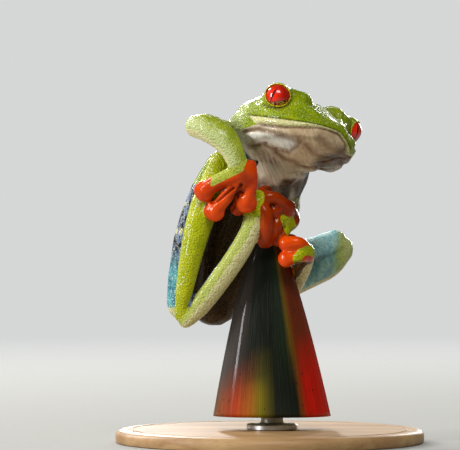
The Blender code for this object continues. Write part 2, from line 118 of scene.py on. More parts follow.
def painted_board():
    """Matte painted board: even, pale and dead flat, with a trace of roller grain."""
    material, add = new_material("matte_painted_board")
    place = add("TexCoord")
    grain = add("TexNoise", {
        "Vector": (place, "Object"), "Scale": 1000.0 / ROLLER_GRAIN, "Detail": 2.0})
    paint = add("ValToRGB", {"Fac": (grain, "Fac")}, stops=((0.0, "#A6A5A1"), (1.0, "#B1B0AC")))
    board = add("BsdfPrincipled", {
        "Base Color": (paint, "Color"), "Roughness": 0.9, "Specular IOR Level": 0.1})
    away = add("VectorMath", {0: (place, "Object")}, operation="LENGTH")
    fade = add("MapRange", {
        "Value": (away, "Value"), "From Min": FLOOR_FADE[0], "From Max": FLOOR_FADE[1]},
        interpolation_type="SMOOTHSTEP")
    clear = add("BsdfTransparent")
    mix = add("MixShader", {0: (fade, "Result"), 1: (board, "BSDF"), 2: (clear, "BSDF")})
    add("OutputMaterial", {"Surface": (mix, "Shader")})
    return material


def put(name, bm, material, scale=0.001):
    """Finish a bmesh as an object at the origin, scaled from millimetres to metres."""
    bmesh.ops.transform(bm, matrix=Matrix.Scale(scale, 4), verts=bm.verts)
    mesh = bpy.data.meshes.new(name)
    bm.to_mesh(mesh)
    bm.free()
    mesh.materials.append(material)
    mesh.shade_smooth()
    piece = bpy.data.objects.new(name, mesh)
    bpy.context.scene.collection.objects.link(piece)
    return piece


board = bmesh.new()
bmesh.ops.create_circle(board, cap_ends=True, segments=64, radius=FLOOR_RADIUS)
floor = put("floor", board, painted_board(), scale=1.0)

# ---------------------------------------------------------------- lights
# A broad soft light in front and above, a tall one at the left, three narrow ones behind that edge the
# wet skin with white, and an even pale room. Places and sizes are in metres.

ROOM_LIGHT = 0.12  # how strongly the room lights the model
ROOM_SEEN = 0.86  # how bright the room itself looks
LIGHTS = (
    # name, place, watts, width and height
    ("front_softbox", (0.02, -0.46, 0.52), 2.6, 0.30, 0.20),
    ("left_strip", (-0.52, -0.24, 0.20), 2.4, 0.08, 0.34),
    ("back_left_strip", (-0.40, 0.34, 0.34), 2.8, 0.04, 0.30),
    ("rim_strip_left", (-0.10, 0.64, 0.30), 2.2, 0.04, 0.24),
    ("rim_strip_right", (0.18, 0.64, 0.20), 1.5, 0.03, 0.24),
)
LIGHT_AIM = Vector((0.0, 0.0, 0.045))  # the frog's chest

for name, place, watts, width, height in LIGHTS:
    lamp = bpy.data.lights.new(name, "AREA")
    lamp.shape = "RECTANGLE"
    lamp.energy = watts
    lamp.size = width
    lamp.size_y = height
    light = bpy.data.objects.new(name, lamp)
    light.location = place
    light.rotation_euler = (LIGHT_AIM - Vector(place)).to_track_quat("-Z", "Y").to_euler()
    light.visible_camera = False
    bpy.context.scene.collection.objects.link(light)

room = bpy.data.worlds.new("pale_room")
room.use_nodes = True
room.node_tree.nodes.clear()
add = partial(add_node, room.node_tree.nodes)
ray = add("LightPath")
glow = add("Background", {"Color": srgb("#DCE3C4"), "Strength": ROOM_LIGHT})
seen = add("Background", {"Color": srgb("#E4E6E6"), "Strength": ROOM_SEEN})
both = add("MixShader", {0: (ray, "Is Camera Ray"), 1: (glow, "Background"), 2: (seen, "Background")})
add("OutputWorld", {"Surface": (both, "Shader")})
bpy.context.scene.world = room
bpy.context.scene.view_settings.view_transform = "Standard"

# ---------------------------------------------------------------- skin
# One continuous cast skin of painted silicone over the whole body. Leaf green above, cream on the lips
# and limb edges, blue flanks and orange hands and feet are airbrushed, then glazed to look wet.

FLESH = (
    "head", "trunk", "upper_arm_right", "forearm_right", "hand_right", "upper_arm_left",
    "forearm_left", "hand_left", "thigh_right", "shank_right", "tarsus_right", "foot_right",
    "thigh_left", "shank_left", "tarsus_left", "foot_left",
)
FINE_PARTS = ("hand_right", "hand_left", "foot_right", "foot_left")
SWELL = 0.19  # closes the clearances between the solids
KNIT = 0.29  # spacing of the skin's points before it is thinned and refined
THINNED = 0.5  # share of the faces that stay when the plain parts are thinned

# the head's own frame, and the eyes and lids in it
SIDES = (-1.0, 1.0)  # right and left
HEAD_MIDDLE = Vector((7.3, -11.0, 59.4))
HEAD_FORWARD = Vector((0.558, -0.829, -0.014)).normalized()
HEAD_UP = Vector((0.286, 0.176, 0.941)).normalized()
HEAD_ASIDE = HEAD_UP.cross(HEAD_FORWARD)  # towards the frog's left
EYE_PLACES = {-1.0: (0.4, -8.0, 0.0), 1.0: (0.4, 8.5, -0.25)}  # forward, aside and up from its middle
EYE_RADIUS = 2.3
LID_TURN = math.radians(50.0)  # the lids open aside and this much forward
LID_ANGLE = 62.0  # half the angle, in degrees, that the lids leave open from corner to corner
LID_DROP = 9.0  # how much less they open above and below
LID_REACH = 1.1  # skin this near the eyeball is shaped as lid
LID_SKIN = 0.22  # thickness of the lids over the eyeball
LID_RIM = 0.04  # rise of the rim round each opening
SOCKET_ANGLE = 47.0  # half the angle that the solid leaves open
LID_BACK = 112.0  # skin turned further than this from the lids' axis stays where it is
LID_EASING = 40  # rounds of easing where the face meets the lids

# the mouth and lip, from the back of the head to the snout
MOUTH_FORWARD = (-9.0, -5.0, -2.0, 1.0, 3.6, 6.0, 8.0, 10.2)
MOUTH_HEIGHT = (-4.0, -4.2, -4.35, -4.35, -4.3, -4.15, -3.95, -3.6)
MOUTH_DROOP = 0.5  # how much it hangs for each millimetre to the left of the snout
MOUTH_CORNER = -3.6
LIP_FORWARD = (-6.0, -3.0, -1.0, -0.3, 5.0, 8.0, 9.3, 10.0)
LIP_DEPTH = (2.6, 2.2, 1.6, 1.35, 1.2, 0.8, 0.5, 0.36)  # from the mouth down to the throat
LIP_START = -0.6  # the cream begins here

# lines drawn on the side that faces the viewer, as (x, z) places
THROAT_FOLDS = (
    # line, depth and width
    (((-4.6, 56.0), (-2.2, 56.3), (1.3, 55.3), (5.2, 53.9)), 0.5, 0.42),
    (((-4.4, 53.3), (-1.0, 53.7)), 0.45, 0.34),
    (((-1.0, 53.6), (0.8, 52.7), (3.4, 52.3), (5.0, 53.4)), 0.45, 0.36),
    (((0.8, 52.4), (2.6, 51.1), (5.2, 50.5)), 0.45, 0.36),
    (((4.8, 54.2), (6.4, 53.2), (8.2, 51.4)), 0.3, 0.5),
    (((8.6, 54.6), (10.2, 53.0), (11.2, 51.2)), 0.24, 0.6),
    (((-2.8, 51.9), (-1.6, 48.8)), 0.13, 0.2),
    (((-2.1, 52.0), (-0.5, 48.1)), 0.15, 0.2),
    (((-1.4, 52.0), (0.4, 47.8)), 0.15, 0.2),
    (((-0.5, 51.8), (1.5, 47.8)), 0.15, 0.2),
    (((0.4, 51.3), (2.4, 48.1)), 0.15, 0.2),
    (((1.5, 50.6), (3.3, 48.1)), 0.13, 0.2),
)
SNOUT_RIDGE = ((12.4, 59.5), (12.5, 56.9), (13.4, 55.0), (14.5, 52.0))
SNOUT_GROOVE = ((13.2, 59.2), (13.3, 57.0), (14.1, 55.2), (15.1, 52.6))
LEG_CLEFT = ((6.6, 31.8), (9.0, 33.0), (11.8, 33.9), (14.4, 35.2))  # between left thigh and shank
FINGER_CLEFTS = (
    ((-5.2, 46.4), (-6.5, 43.3), (-7.0, 42.1)),
    ((-6.6, 45.9), (-9.2, 44.0), (-10.4, 43.6)),
)


def head_point(forward, left, up):
    return HEAD_MIDDLE + HEAD_FORWARD * forward + HEAD_ASIDE * left + HEAD_UP * up


def lid_axis(side):
    return HEAD_ASIDE * (side * math.cos(LID_TURN)) + HEAD_FORWARD * math.sin(LID_TURN)


def eye_centre(side):
    return head_point(*EYE_PLACES[side])


def lid_places(points, side):
    """Distance from the eye's middle, turn from the lids' axis, and the turn where their edge lies."""
    offset = points - np.array(eye_centre(side))
    distance = np.linalg.norm(offset, axis=1)
    turn = np.degrees(np.arccos(np.clip(offset @ np.array(lid_axis(side)) / distance, -1.0, 1.0)))
    upright = (offset @ np.array(HEAD_UP)) / np.maximum(distance * np.sin(np.radians(turn)), 0.01)
    return distance, turn, LID_ANGLE - LID_DROP * upright**2


def step(value, start, end):
    """0 before start, 1 after end, and a soft rise between them."""
    t = np.clip((value - start) / (end - start), 0.0, 1.0)
    return t * t * (3.0 - 2.0 * t)


def bell(distance, width):
    """1 at no distance, falling softly away within about the width."""
    return np.exp(-((distance / width) ** 2))


def head_places(points):
    """How far forward, left and above the line of the mouth each point is, in the head's frame."""
    offset = points - np.array(HEAD_MIDDLE)
    forward, left, up = (offset @ np.array(way) for way in (HEAD_FORWARD, HEAD_ASIDE, HEAD_UP))
    mouth = np.interp(forward, MOUTH_FORWARD, MOUTH_HEIGHT)
    mouth -= MOUTH_DROOP * np.maximum(left - 0.3, 0.0) * step(forward, 6.0, 9.0)
    return forward, left, up - mouth


def brought_near(points, left):
    """The points with those of the head's far side brought to the like places on its near side."""
    return points - np.outer(2.0 * np.maximum(left, 0.0), np.array(HEAD_ASIDE))


def from_line(points, line):
    """Distance of each point from a line through given places, and how far along it lies, 0 to 1.

    A line of (x, z) places counts at every depth.
    """
    line = np.array(line, float)
    if line.shape[1] == 2:
        points = points[:, (0, 2)]
    best = np.full(len(points), 1e9)
    along = np.zeros(len(points))
    lengths = np.linalg.norm(np.diff(line, axis=0), axis=1)
    reached = 0.0
    for start, end, length in zip(line, line[1:], lengths):
        t = np.clip((points - start) @ (end - start) / length**2, 0.0, 1.0)
        distance = np.linalg.norm(points - start - t[:, None] * (end - start), axis=1)
        closer = distance < best
        best[closer] = distance[closer]
        along[closer] = ((reached + t * length) / lengths.sum())[closer]
        reached += length
    return best, along


def near(points, line, reach, soft=0.3):
    """1 within reach of a line, 0 past it, with a soft edge."""
    return 1.0 - step(from_line(points, line)[0], reach - soft, reach + soft)


def facing(normals, x, y, z):
    """How squarely each point faces a direction, -1 to 1."""
    return normals @ np.array(Vector((x, y, z)).normalized())


def crease(points, normals, amount, distance, width):
    """Press a furrow into the skin, or raise a ridge where the amount is negative."""
    return points - normals * (amount * bell(distance, width))[:, None]


def node_copy(name):
    """A CAD node's shape in millimetres, with its loose triangles joined."""
    bm = bmesh.new()
    bm.from_mesh(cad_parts[name].data)
    bmesh.ops.transform(bm, matrix=Matrix.Scale(1000.0, 4), verts=bm.verts)
    bmesh.ops.remove_doubles(bm, verts=bm.verts, dist=0.0005)
    bm.normal_update()
    return bm


def working_form(bm):
    """A passing object for a modifier to work on."""
    mesh = bpy.data.meshes.new("form")
    bm.to_mesh(mesh)
    form = bpy.data.objects.new("form", mesh)
    bpy.context.scene.collection.objects.link(form)
    return form


def take_back(bm, form):
    """Fill a bmesh with the modified form, and remove the form."""
    evaluated = form.evaluated_get(bpy.context.evaluated_depsgraph_get())
    bm.clear()
    bm.from_mesh(evaluated.to_mesh())
    bpy.data.objects.remove(form, do_unlink=True)


def knit_skin():
    """Join the flesh solids into one even mesh, in millimetres, and give a search tree for each."""
    trees, joined = {}, bmesh.new()
    for name in FLESH:
        part = node_copy(name)
        trees[name] = BVHTree.FromBMesh(part)
        for vert in part.verts:
            vert.co += vert.normal * SWELL
        loose = bpy.data.meshes.new(name)
        part.to_mesh(loose)
        part.free()
        joined.from_mesh(loose)
        bpy.data.meshes.remove(loose)
    form = working_form(joined)
    knit = form.modifiers.new("knit", "REMESH")
    knit.mode = "VOXEL"
    knit.voxel_size = KNIT
    take_back(joined, form)
    return joined, trees


def thin_out(bm, where):
    """Give the plain parts of a mesh fewer faces where a mask over its points holds."""
    form = working_form(bm)
    plain = form.vertex_groups.new(name="plain")
    plain.add(np.flatnonzero(where).tolist(), 1.0, "REPLACE")
    thin = form.modifiers.new("thin", "DECIMATE")
    thin.ratio = THINNED
    thin.vertex_group = "plain"
    thin.vertex_group_factor = 10.0
    take_back(bm, form)


def refine(bm, where):
    """Halve the spacing of a mesh's points where a mask over them holds."""
    bm.verts.index_update()
    edges = [edge for edge in bm.edges if where[edge.verts[0].index] and where[edge.verts[1].index]]
    bmesh.ops.subdivide_edges(bm, edges=edges, cuts=1, use_grid_fill=True)
    bm.verts.ensure_lookup_table()


def points_of(bm):
    """Every point's place, as the rows of an array."""
    return np.array([vert.co[:] for vert in bm.verts])


def normals_of(bm):
    bm.normal_update()
    return np.array([vert.normal[:] for vert in bm.verts])


def ends_of(bm):
    """The two points of every edge, by index."""
    bm.verts.index_update()
    return np.array([[vert.index for vert in edge.verts] for edge in bm.edges])


def move_to(bm, points):
    for vert, point in zip(bm.verts, points):
        vert.co = point


def neighbour_sum(values, ends):
    """For every point, the sum of its neighbours' values."""
    a, b = ends[:, 0], ends[:, 1]
    return np.bincount(a, values[b], len(values)) + np.bincount(b, values[a], len(values))


def eased(points, ends, weight):
    """Points moved part of the way to the mean of their neighbours."""
    count = np.bincount(ends.ravel(), minlength=len(points))[:, None]
    total = np.stack([neighbour_sum(points[:, k], ends) for k in range(3)], axis=1)
    return points + (total / count - points) * weight[:, None]


def soften(bm, rounds, weight):
    """Smooth without shrinking: each round eases the points, then moves them a little back."""
    points, ends = points_of(bm), ends_of(bm)
    for pull in (0.5, -0.52) * rounds:
        points = eased(points, ends, pull * weight)
    move_to(bm, points)


def blur(values, ends, rounds):
    """Mix each point's value with its neighbours'."""
    count = 1.0 + np.bincount(ends.ravel(), minlength=len(values))
    for _ in range(rounds):
        values = (values + neighbour_sum(values, ends)) / count
    return values


def nearest_part(points, trees):
    """For every point, the index in FLESH of the solid it belongs to."""
    best = np.full(len(points), 9.0)
    owner = np.zeros(len(points), int)
    for k, name in enumerate(FLESH):
        low, high = (np.array(corner) * 1000.0 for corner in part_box(name))
        close = np.all((points > low - 1.0) & (points < high + 1.0), axis=1)
        for i in np.flatnonzero(close):
            distance = trees[name].find_nearest(points[i], 9.0)[3]
            if distance is not None and distance < best[i]:
                best[i], owner[i] = distance, k
    return owner


def on(*names):
    """Where the skin covers the named parts."""
    return np.isin(owner, [FLESH.index(name) for name in names])


def open_lids(points, side):
    """Draw the skin back from an eye to the lids' edge, thin over the eyeball and with a raised rim."""
    centre, axis = np.array(eye_centre(side)), np.array(lid_axis(side))
    distance, turn, edge = lid_places(points, side)
    across = points - centre
    across -= axis * (across @ axis)[:, None]
    across /= np.linalg.norm(across, axis=1)[:, None]
    lid = distance < EYE_RADIUS + LID_REACH
    pull = lid * (1.0 - step(distance, EYE_RADIUS + 0.7, EYE_RADIUS + LID_REACH))
    opened = np.where(turn < SOCKET_ANGLE, turn * edge / SOCKET_ANGLE,
                      edge + (turn - SOCKET_ANGLE) * (LID_BACK - edge) / (LID_BACK - SOCKET_ANGLE))
    turn = turn + np.maximum(opened - turn, 0.0) * pull
    skinned = distance > EYE_RADIUS + 0.3
    thin = EYE_RADIUS + LID_SKIN + (distance - EYE_RADIUS - LID_SKIN) * step(turn, edge + 14.0, 115.0)
    thinned = np.minimum(distance, distance + (thin - distance) * pull)
    height = np.where(lid & skinned, thinned, distance)
    rim = LID_RIM * bell(turn - edge - 2.0, 5.0) * skinned
    height = np.where(lid, np.maximum(height, EYE_RADIUS + 0.06) + rim, height)
    turn = np.radians(turn)
    moved = centre + axis * (height * np.cos(turn))[:, None] + across * (height * np.sin(turn))[:, None]
    return np.where(lid[:, None], moved, points)


def fill_in(points, ends, side):
    """Fill the skin in round an eye's lids, so that they rise from the face without a step."""
    centre = np.array(eye_centre(side))
    least = EYE_RADIUS + 0.2
    for _ in range(LID_EASING):
        distance, turn, edge = lid_places(points, side)
        weight = 0.5 * step(turn, edge + 6.0, edge + 20.0) * (1.0 - step(distance, 4.2, 6.0))
        points = eased(points, ends, weight)
        distance = np.linalg.norm(points - centre, axis=1)
        short = (distance < least) & (weight > 0.0)
        points[short] = centre + (points[short] - centre) * (least / distance[short])[:, None]
    return points


skin, trees = knit_skin()
owner = nearest_part(points_of(skin), trees)
soften(skin, 22, np.where(on(*FINE_PARTS), 0.4, 1.0))

# fewer points on the plain parts, and more where the face, throat and hands need them
points = points_of(skin)
forward, left, height = head_places(points)
face = on("head", "trunk") & (height < 0.7) & (points[:, 2] > 47.0) & (forward > -8.0)
for side in SIDES:
    face |= lid_places(points, side)[0] < 3.6
thin_out(skin, ~(face | on(*FINE_PARTS)))
points = points_of(skin)
owner = nearest_part(points, trees)
forward, left, height = head_places(points)
fine = on("head", "trunk") & (height < 0.5) & (points[:, 2] > 48.0) & (forward > -7.0) & (left < 4.0)
for side in SIDES:
    distance, turn, edge = lid_places(points, side)
    fine |= (distance < 3.3) & (turn < 95.0)
refine(skin, fine | on("hand_right", "hand_left"))
soften(skin, 3, np.full(len(skin.verts), 0.8))

# the eyelids
points, ends = points_of(skin), ends_of(skin)
owner = nearest_part(points, trees)
for side in SIDES:
    points = open_lids(points, side)
for side in SIDES:
    points = fill_in(points, ends, side)
move_to(skin, points)
normals = normals_of(skin)

# the mouth: a fine slit over a rounded lip, and the throat falling back under it
forward, left, height = head_places(points)
lip = np.interp(forward, LIP_FORWARD, LIP_DEPTH)
head = on("head")
on_mouth = head * step(forward, MOUTH_CORNER - 0.6, MOUTH_CORNER + 0.6)
on_lip = head * step(forward, LIP_START - 0.8, LIP_START + 0.8)
points = crease(points, normals, 0.2 * on_mouth, height, 0.16)
points = crease(points, normals, -0.16 * on_lip, height + lip * 0.5, lip * 0.4)
points = crease(points, normals, 0.34 * on_lip, height + lip + 0.2, 0.26)

# the folds of the throat, which both its sides share
throat = (head + on("trunk")) * (forward > -9.0) * step(-(height + lip), 0.0, 0.3)
throat *= step(facing(normals, 0.3, -0.9, -0.5), -0.3, 0.1)
near_points = brought_near(points, left)
for line, depth, width in THROAT_FOLDS:
    distance, along = from_line(near_points, line)
    points = crease(points, normals, depth * throat * (1.0 - 0.5 * along), distance, width)

# the nostrils, the double fold from behind each eye to the shoulder, and the crease under the eye
for side in SIDES:
    nostril = np.array(head_point(8.9, 2.3 * side, -2.9))
    points = crease(points, normals, 0.3, np.linalg.norm(points - nostril, axis=1), 0.32)
    for lower in (0.0, 0.9):
        fold = (head_point(-2.2 + lower, 8.6 * side, 0.4 - lower),
                head_point(-4.4, 9.6 * side, -1.2 - lower), head_point(-7.2, 10.3 * side, -3.2 - lower))
        points = crease(points, normals, -0.2 * head, from_line(points, fold)[0], 0.3)
    under_eye = (head_point(-0.6, 9.6 * side, -3.0), head_point(-2.4, 10.2 * side, -3.3))
    points = crease(points, normals, 0.22, from_line(points, under_eye)[0], 0.2)

# the blunt ridge down the middle of the snout, the groove beyond it, and the clefts of leg and fingers
front = head * (height > 0.0) * step(facing(normals, 0.5, -0.8, 0.2), 0.0, 0.3)
folded = on("thigh_left", "shank_left") * step(-normals[:, 1], -0.1, 0.2)
hand = on("hand_right") * step(-normals[:, 1], 0.0, 0.3)
ridge, groove = (from_line(points, line)[0] for line in (SNOUT_RIDGE, SNOUT_GROOVE))
points = crease(points, normals, -0.22 * front, ridge, 0.3)
points = crease(points, normals, 0.4 * front, groove, 0.35)
points = crease(points, normals, 0.35 * folded, from_line(points, LEG_CLEFT)[0], 0.35)
for line in FINGER_CLEFTS:
    points = crease(points, normals, 0.6 * hand, from_line(points, line)[0], 0.28)
move_to(skin, points)
soften(skin, 1, np.full(len(points), 0.4))

# the markings, each from 0 to 1 at every point of the skin
EVEN_MARKS = (
    # marking, strength and parts
    ("orange", 1.0, FINE_PARTS),
    ("yellow", 1.0, FINE_PARTS + ("shank_right", "tarsus_right")),
    ("yellow", 0.45, ("forearm_right", "upper_arm_right")),
    # mint on the right tarsus and hand: partly their own pale colour, partly painted light
    ("mint_and_sheen", 0.5, ("tarsus_right",)),
    ("mint_and_sheen", 0.3, ("hand_right",)),
    # painted shade over the left hand and right foot, which lie in shadow
    ("deep", 0.6, ("hand_left", "foot_right")),
)
EDGE_MARKS = (
    # marking, strength, parts, direction, and how squarely skin faces it at the start and in full
    ("cream", 1.0, ("forearm_right", "upper_arm_right"), (-0.62, -0.1, -0.78), 0.62, 0.8),
    ("blue", 1.0, ("upper_arm_right",), (0.5, 0.3, -0.8), 0.2, 0.5),
    ("blue", 0.6, ("forearm_right",), (0.95, -0.1, 0.1), 0.86, 0.94),
    # painted highlights: pale glints on the right thigh's lit left edge
    ("painted_glints", 1.0, ("thigh_right",), (-0.8, -0.2, 0.4), 0.1, 0.6),
    ("violet", 1.0, ("shank_right",), (0.97, 0.0, 0.2), 0.84, 0.9),
    # painted highlights: pale glints on the right shank's lit left edge
    ("painted_glints", 1.0, ("shank_right",), (-0.9, -0.3, 0.2), 0.35, 0.75),
    ("cream", 1.0, ("tarsus_right",), (0.66, 0.0, -0.75), -0.05, 0.25),
    ("violet", 1.0, ("tarsus_right",), (-0.8, 0.1, 0.6), 0.88, 0.93),
    ("blue", 1.0, ("forearm_left", "upper_arm_left"), (-0.7, -0.7, 0.0), 0.0, 0.3),
    ("cream", 0.8, ("forearm_left", "upper_arm_left"), (0.9, -0.3, -0.2), 0.3, 0.5),
    ("cream", 0.7, ("shank_left",), (0.2, -0.2, -0.95), 0.5, 0.7),
    # umber painted shade on the inner side of the left tarsus
    ("umber_shade", 1.0, ("tarsus_left",), (-0.8, -0.6, 0.2), 0.0, 0.3),
    ("cream", 1.0, ("tarsus_left",), (0.8, -0.4, -0.5), 0.1, 0.4),
)
LINE_MARKS = (
    # marking, strength, parts, line, reach and softness
    ("blue", 0.8, ("thigh_right",), ((-14.6, 28.0), (-13.2, 25.6)), 1.0, 0.5),
    ("violet", 1.0, ("trunk",), ((-12.0, 22.7), (-7.0, 24.4)), 0.5, 0.3),
    ("violet", 1.0, ("shank_right", "tarsus_right"), ((-13.2, 28.2), (-14.5, 25.0)), 0.3, 0.2),
    # mint under the rump: partly a pale edge, partly painted light
    ("mint_and_sheen", 0.6, ("trunk",), ((-12.6, 21.2), (-8.0, 21.8)), 0.6, 0.5),
    # painted shade between the right hand's fingers
    ("deep", 0.55, ("hand_right",), ((-6.6, 44.6), (-4.6, 47.6)), 0.9, 0.8),
)
GREEN_SPOTS = (
    # the outer fingers and toes, which stay green: part, line, reach and softness
    ("foot_right", ((-3.1, -10.9, 41.4), (-2.6, -10.6, 43.0), (-2.2, -10.3, 44.0)), 1.7, 0.4),
    ("hand_left", ((3.0, 40.6), (3.7, 38.6)), 1.2, 0.3),
    ("foot_left", ((4.7, 33.4), (5.5, 34.5), (6.8, 35.0), (7.9, 34.4)), 0.8, 0.2),
)
THIGH_BARS = ((38.3, 0.5, 1.4), (43.2, 0.42, 1.3))  # height, width and strength of the cream bars
# the right shank's line, as z and x, the right wrist's as x and z, and dark specks on the right tarsus
SHANK_LINE = ((25.9, 31.0, 35.6, 41.2, 46.0, 50.0), (-15.8, -14.9, -13.7, -12.1, -10.6, -9.0))
WRIST_LINE = ((-12.0, -10.2, -4.9, -4.0, -3.6), (46.0, 46.3, 48.9, 51.3, 53.5))
SPECKS = ((-10.4, 27.2), (-9.8, 26.6), (-10.7, 26.0), (-11.6, 25.3), (-12.9, 24.2))
SPINE = (Vector((0.6, -4.8, 54.6)), Vector((-10.2, 8.6, 25.6)))
SPINE_ASIDE = Vector((0.8, 0.6, 0.0))

# the sizes of the paint's patterns
UNEVEN, CLOUD, FLECK = 0.9, 3.2, 0.45
MOTTLE = (0.9, 2.2, 12.0)  # width, length and lean in degrees
WRINKLE = (0.45, 4.0, -24.0)
PEBBLE = 0.36  # coarser than a real frog's granules, so that they show

points, normals = points_of(skin), normals_of(skin)
forward, left, height = head_places(points)
lip = np.interp(forward, LIP_FORWARD, LIP_DEPTH)
near_points = brought_near(points, left)
# fold and deep are painted shade; dark is painted shade too, apart from the right tarsus's own specks
marks = {name: np.zeros(len(points)) for name in (
    "orange", "cream", "blue", "violet", "throat", "pale", "brown_shade", "umber_shade", "lid", "yellow", "dark",
    "painted_glints", "wrinkled", "granule_shade", "mint_and_sheen", "deep", "turquoise_sheen", "fold")}


def paint(name, amount):
    marks[name] = np.maximum(marks[name], amount)


def wipe(name, amount):
    marks[name] = np.minimum(marks[name], 1.0 - amount)


# painted shade: the skin is darkened in its folds and hollows, found from its curvature, and along the
# throat's folds
span = points[ends[:, 1]] - points[ends[:, 0]]
bend = ((normals[ends[:, 1]] - normals[ends[:, 0]]) * span).sum(axis=1) / (span ** 2).sum(axis=1)
bends = np.bincount(ends[:, 0], bend, len(points)) + np.bincount(ends[:, 1], bend, len(points))
bends /= np.bincount(ends.ravel(), minlength=len(points))
paint("fold", 0.8 * step(-blur(bends, ends, 3), 0.2, 1.2))
for line, depth, width in THROAT_FOLDS:
    distance, along = from_line(near_points, line)
    paint("fold", throat * bell(distance, width) * (1.0 - 0.5 * along) * min(1.0, depth * 2.4))

# head: cream lip, painted light on the throat's back and painted shade at its front, in the mouth and
# nostrils and under the eyes, yellow rim to the lids
under_lip = head * step(-(height + lip), -0.08, 0.08)
wedge = step(forward, -3.6, -0.3)  # the cream tapers out behind
paint("throat", under_lip)
paint("wrinkled", under_lip)
paint("cream", head * step(-height, 0.0, 0.12) * (1.0 - under_lip) * (forward > -4.0)
      * step(height + 1.5 * wedge, -0.15, 0.45 - 0.4 * wedge))
# painted shade: a dark line in the mouth's slit
paint("dark", 0.75 * head * bell(height, 0.13) * step(forward, MOUTH_CORNER - 0.4, MOUTH_CORNER))
# umber painted shade under the back of the lip and over the throat's front, most at the chin
paint("umber_shade", 0.7 * head * step(forward, -1.0, 0.5) * bell(height + lip + 0.25, 0.28))
paint("umber_shade", 0.34 * under_lip * step(forward, 1.0, 6.0))
paint("umber_shade", 0.85 * under_lip * near(points, ((9.4, 50.4), (13.8, 51.8)), 1.6, 1.3))
# painted light on the throat's swelling and, fainter, towards its back
paint("pale", near(near_points, ((-5.6, 55.2), (-0.6, 55.0), (3.4, 53.6)), 1.1, 1.0))
paint("pale", 0.4 * (1.0 - step(near_points[:, 0], 0.0, 5.0)))
paint("blue", under_lip * near(near_points, ((-7.2, 56.8), (-4.6, 56.2)), 0.9, 0.5))
# painted highlights: pale glints over the back of the head, and fainter above the mouth
paint("painted_glints", head * (1.0 - step(forward, -4.0, -0.5)) * step(height, -3.0, 0.0))
paint("painted_glints", 0.4 * head * step(height, 0.2, 1.0))
cheek = head * (1.0 - step(forward, -6.0, -3.0)) * step(facing(normals, -0.6, -0.75, 0.1), 0.45, 0.8)
# mint here is painted sheen, on the head behind the eyes where it faces left and forward
paint("mint_and_sheen", 0.7 * cheek)
for side in SIDES:
    distance, turn, edge = lid_places(points, side)
    paint("lid", (distance < EYE_RADIUS + 0.6) * (1.0 - step(turn - edge, 2.0, 5.0)))
    # painted shade in the nostrils, and a dark painted line in the crease under each eye
    nostril = np.array(head_point(8.9, 2.3 * side, -2.9))
    paint("dark", 1.0 - step(np.linalg.norm(points - nostril, axis=1), 0.2, 0.36))
    under_eye = (head_point(-0.8, 9.6 * side, -3.0), head_point(-2.2, 10.1 * side, -3.2))
    paint("dark", 0.6 * near(points, under_eye, 0.12, 0.1))

# trunk: green back, violet flanks crossed by cream bars, pale chest with painted shade beside the arms,
# and dark brown painted shade on the lower belly
trunk = on("trunk")
heading = (SPINE[1] - SPINE[0]).normalized()
back = SPINE_ASIDE.cross(heading).normalized()
offset = points - np.array(SPINE[0])
down = offset @ np.array(heading) / (SPINE[1] - SPINE[0]).length
turn = np.degrees(np.abs(np.arctan2(offset @ np.array(SPINE_ASIDE), offset @ np.array(back))))
belly = trunk * step(turn, 124.0, 132.0)
flank = trunk * step(turn, 74.0, 78.0) * (1.0 - step(turn, 124.0, 132.0))
bars = step(0.5 + 0.5 * np.sin(down * 40.0 + turn * 0.025), 0.8, 0.92)
paint("violet", flank)
paint("cream", flank * bars * step(turn, 80.0, 90.0) * (1.0 - step(turn, 104.0, 116.0)))
paint("cream", 0.9 * flank * (1.0 - step(turn, 75.0, 77.0)))
# dark brown painted shade on the lower belly
paint("brown_shade", belly * step(down, 0.2, 0.45))
for name in ("throat", "wrinkled"):
    paint(name, belly * (1.0 - step(down, 0.2, 0.45)))
# painted shade on the chest beside the arms: umber, with darker shade in its lower part
chest = on("trunk", "head") * step(points[:, 0], 1.2, 2.4) * (1.0 - step(points[:, 2], 47.0, 48.4))
chest *= step(points[:, 2], 41.0, 43.0) * step(facing(normals, 0.25, -1.0, -0.2), 0.1, 0.5)
paint("umber_shade", 0.95 * chest)
paint("dark", 0.6 * chest * (1.0 - step(points[:, 2], 46.0, 47.2)))

# limbs
for name, strength, parts in EVEN_MARKS:
    paint(name, strength * on(*parts))
for name, strength, parts, way, start, end in EDGE_MARKS:
    paint(name, strength * on(*parts) * step(facing(normals, *way), start, end))
arm = on("forearm_right", "upper_arm_right")
# painted highlights on the right arm, most where it faces up and left
paint("painted_glints", arm * (0.25 + 0.75 * step(facing(normals, -0.6, -0.2, 0.7), 0.2, 0.7)))
# mint on the right arm, partly its pale underside and partly painted light, most on its lower left side
paint("mint_and_sheen", arm * (0.15 + 0.7 * step(facing(normals, -0.75, -0.35, -0.55), -0.35, 0.75)))
for x, z in SPECKS:
    speck = from_line(points, ((x, z), (x + 0.1, z + 0.15)))[0]
    paint("dark", 0.8 * on("tarsus_right") * (1.0 - step(speck, 0.1, 0.26)))

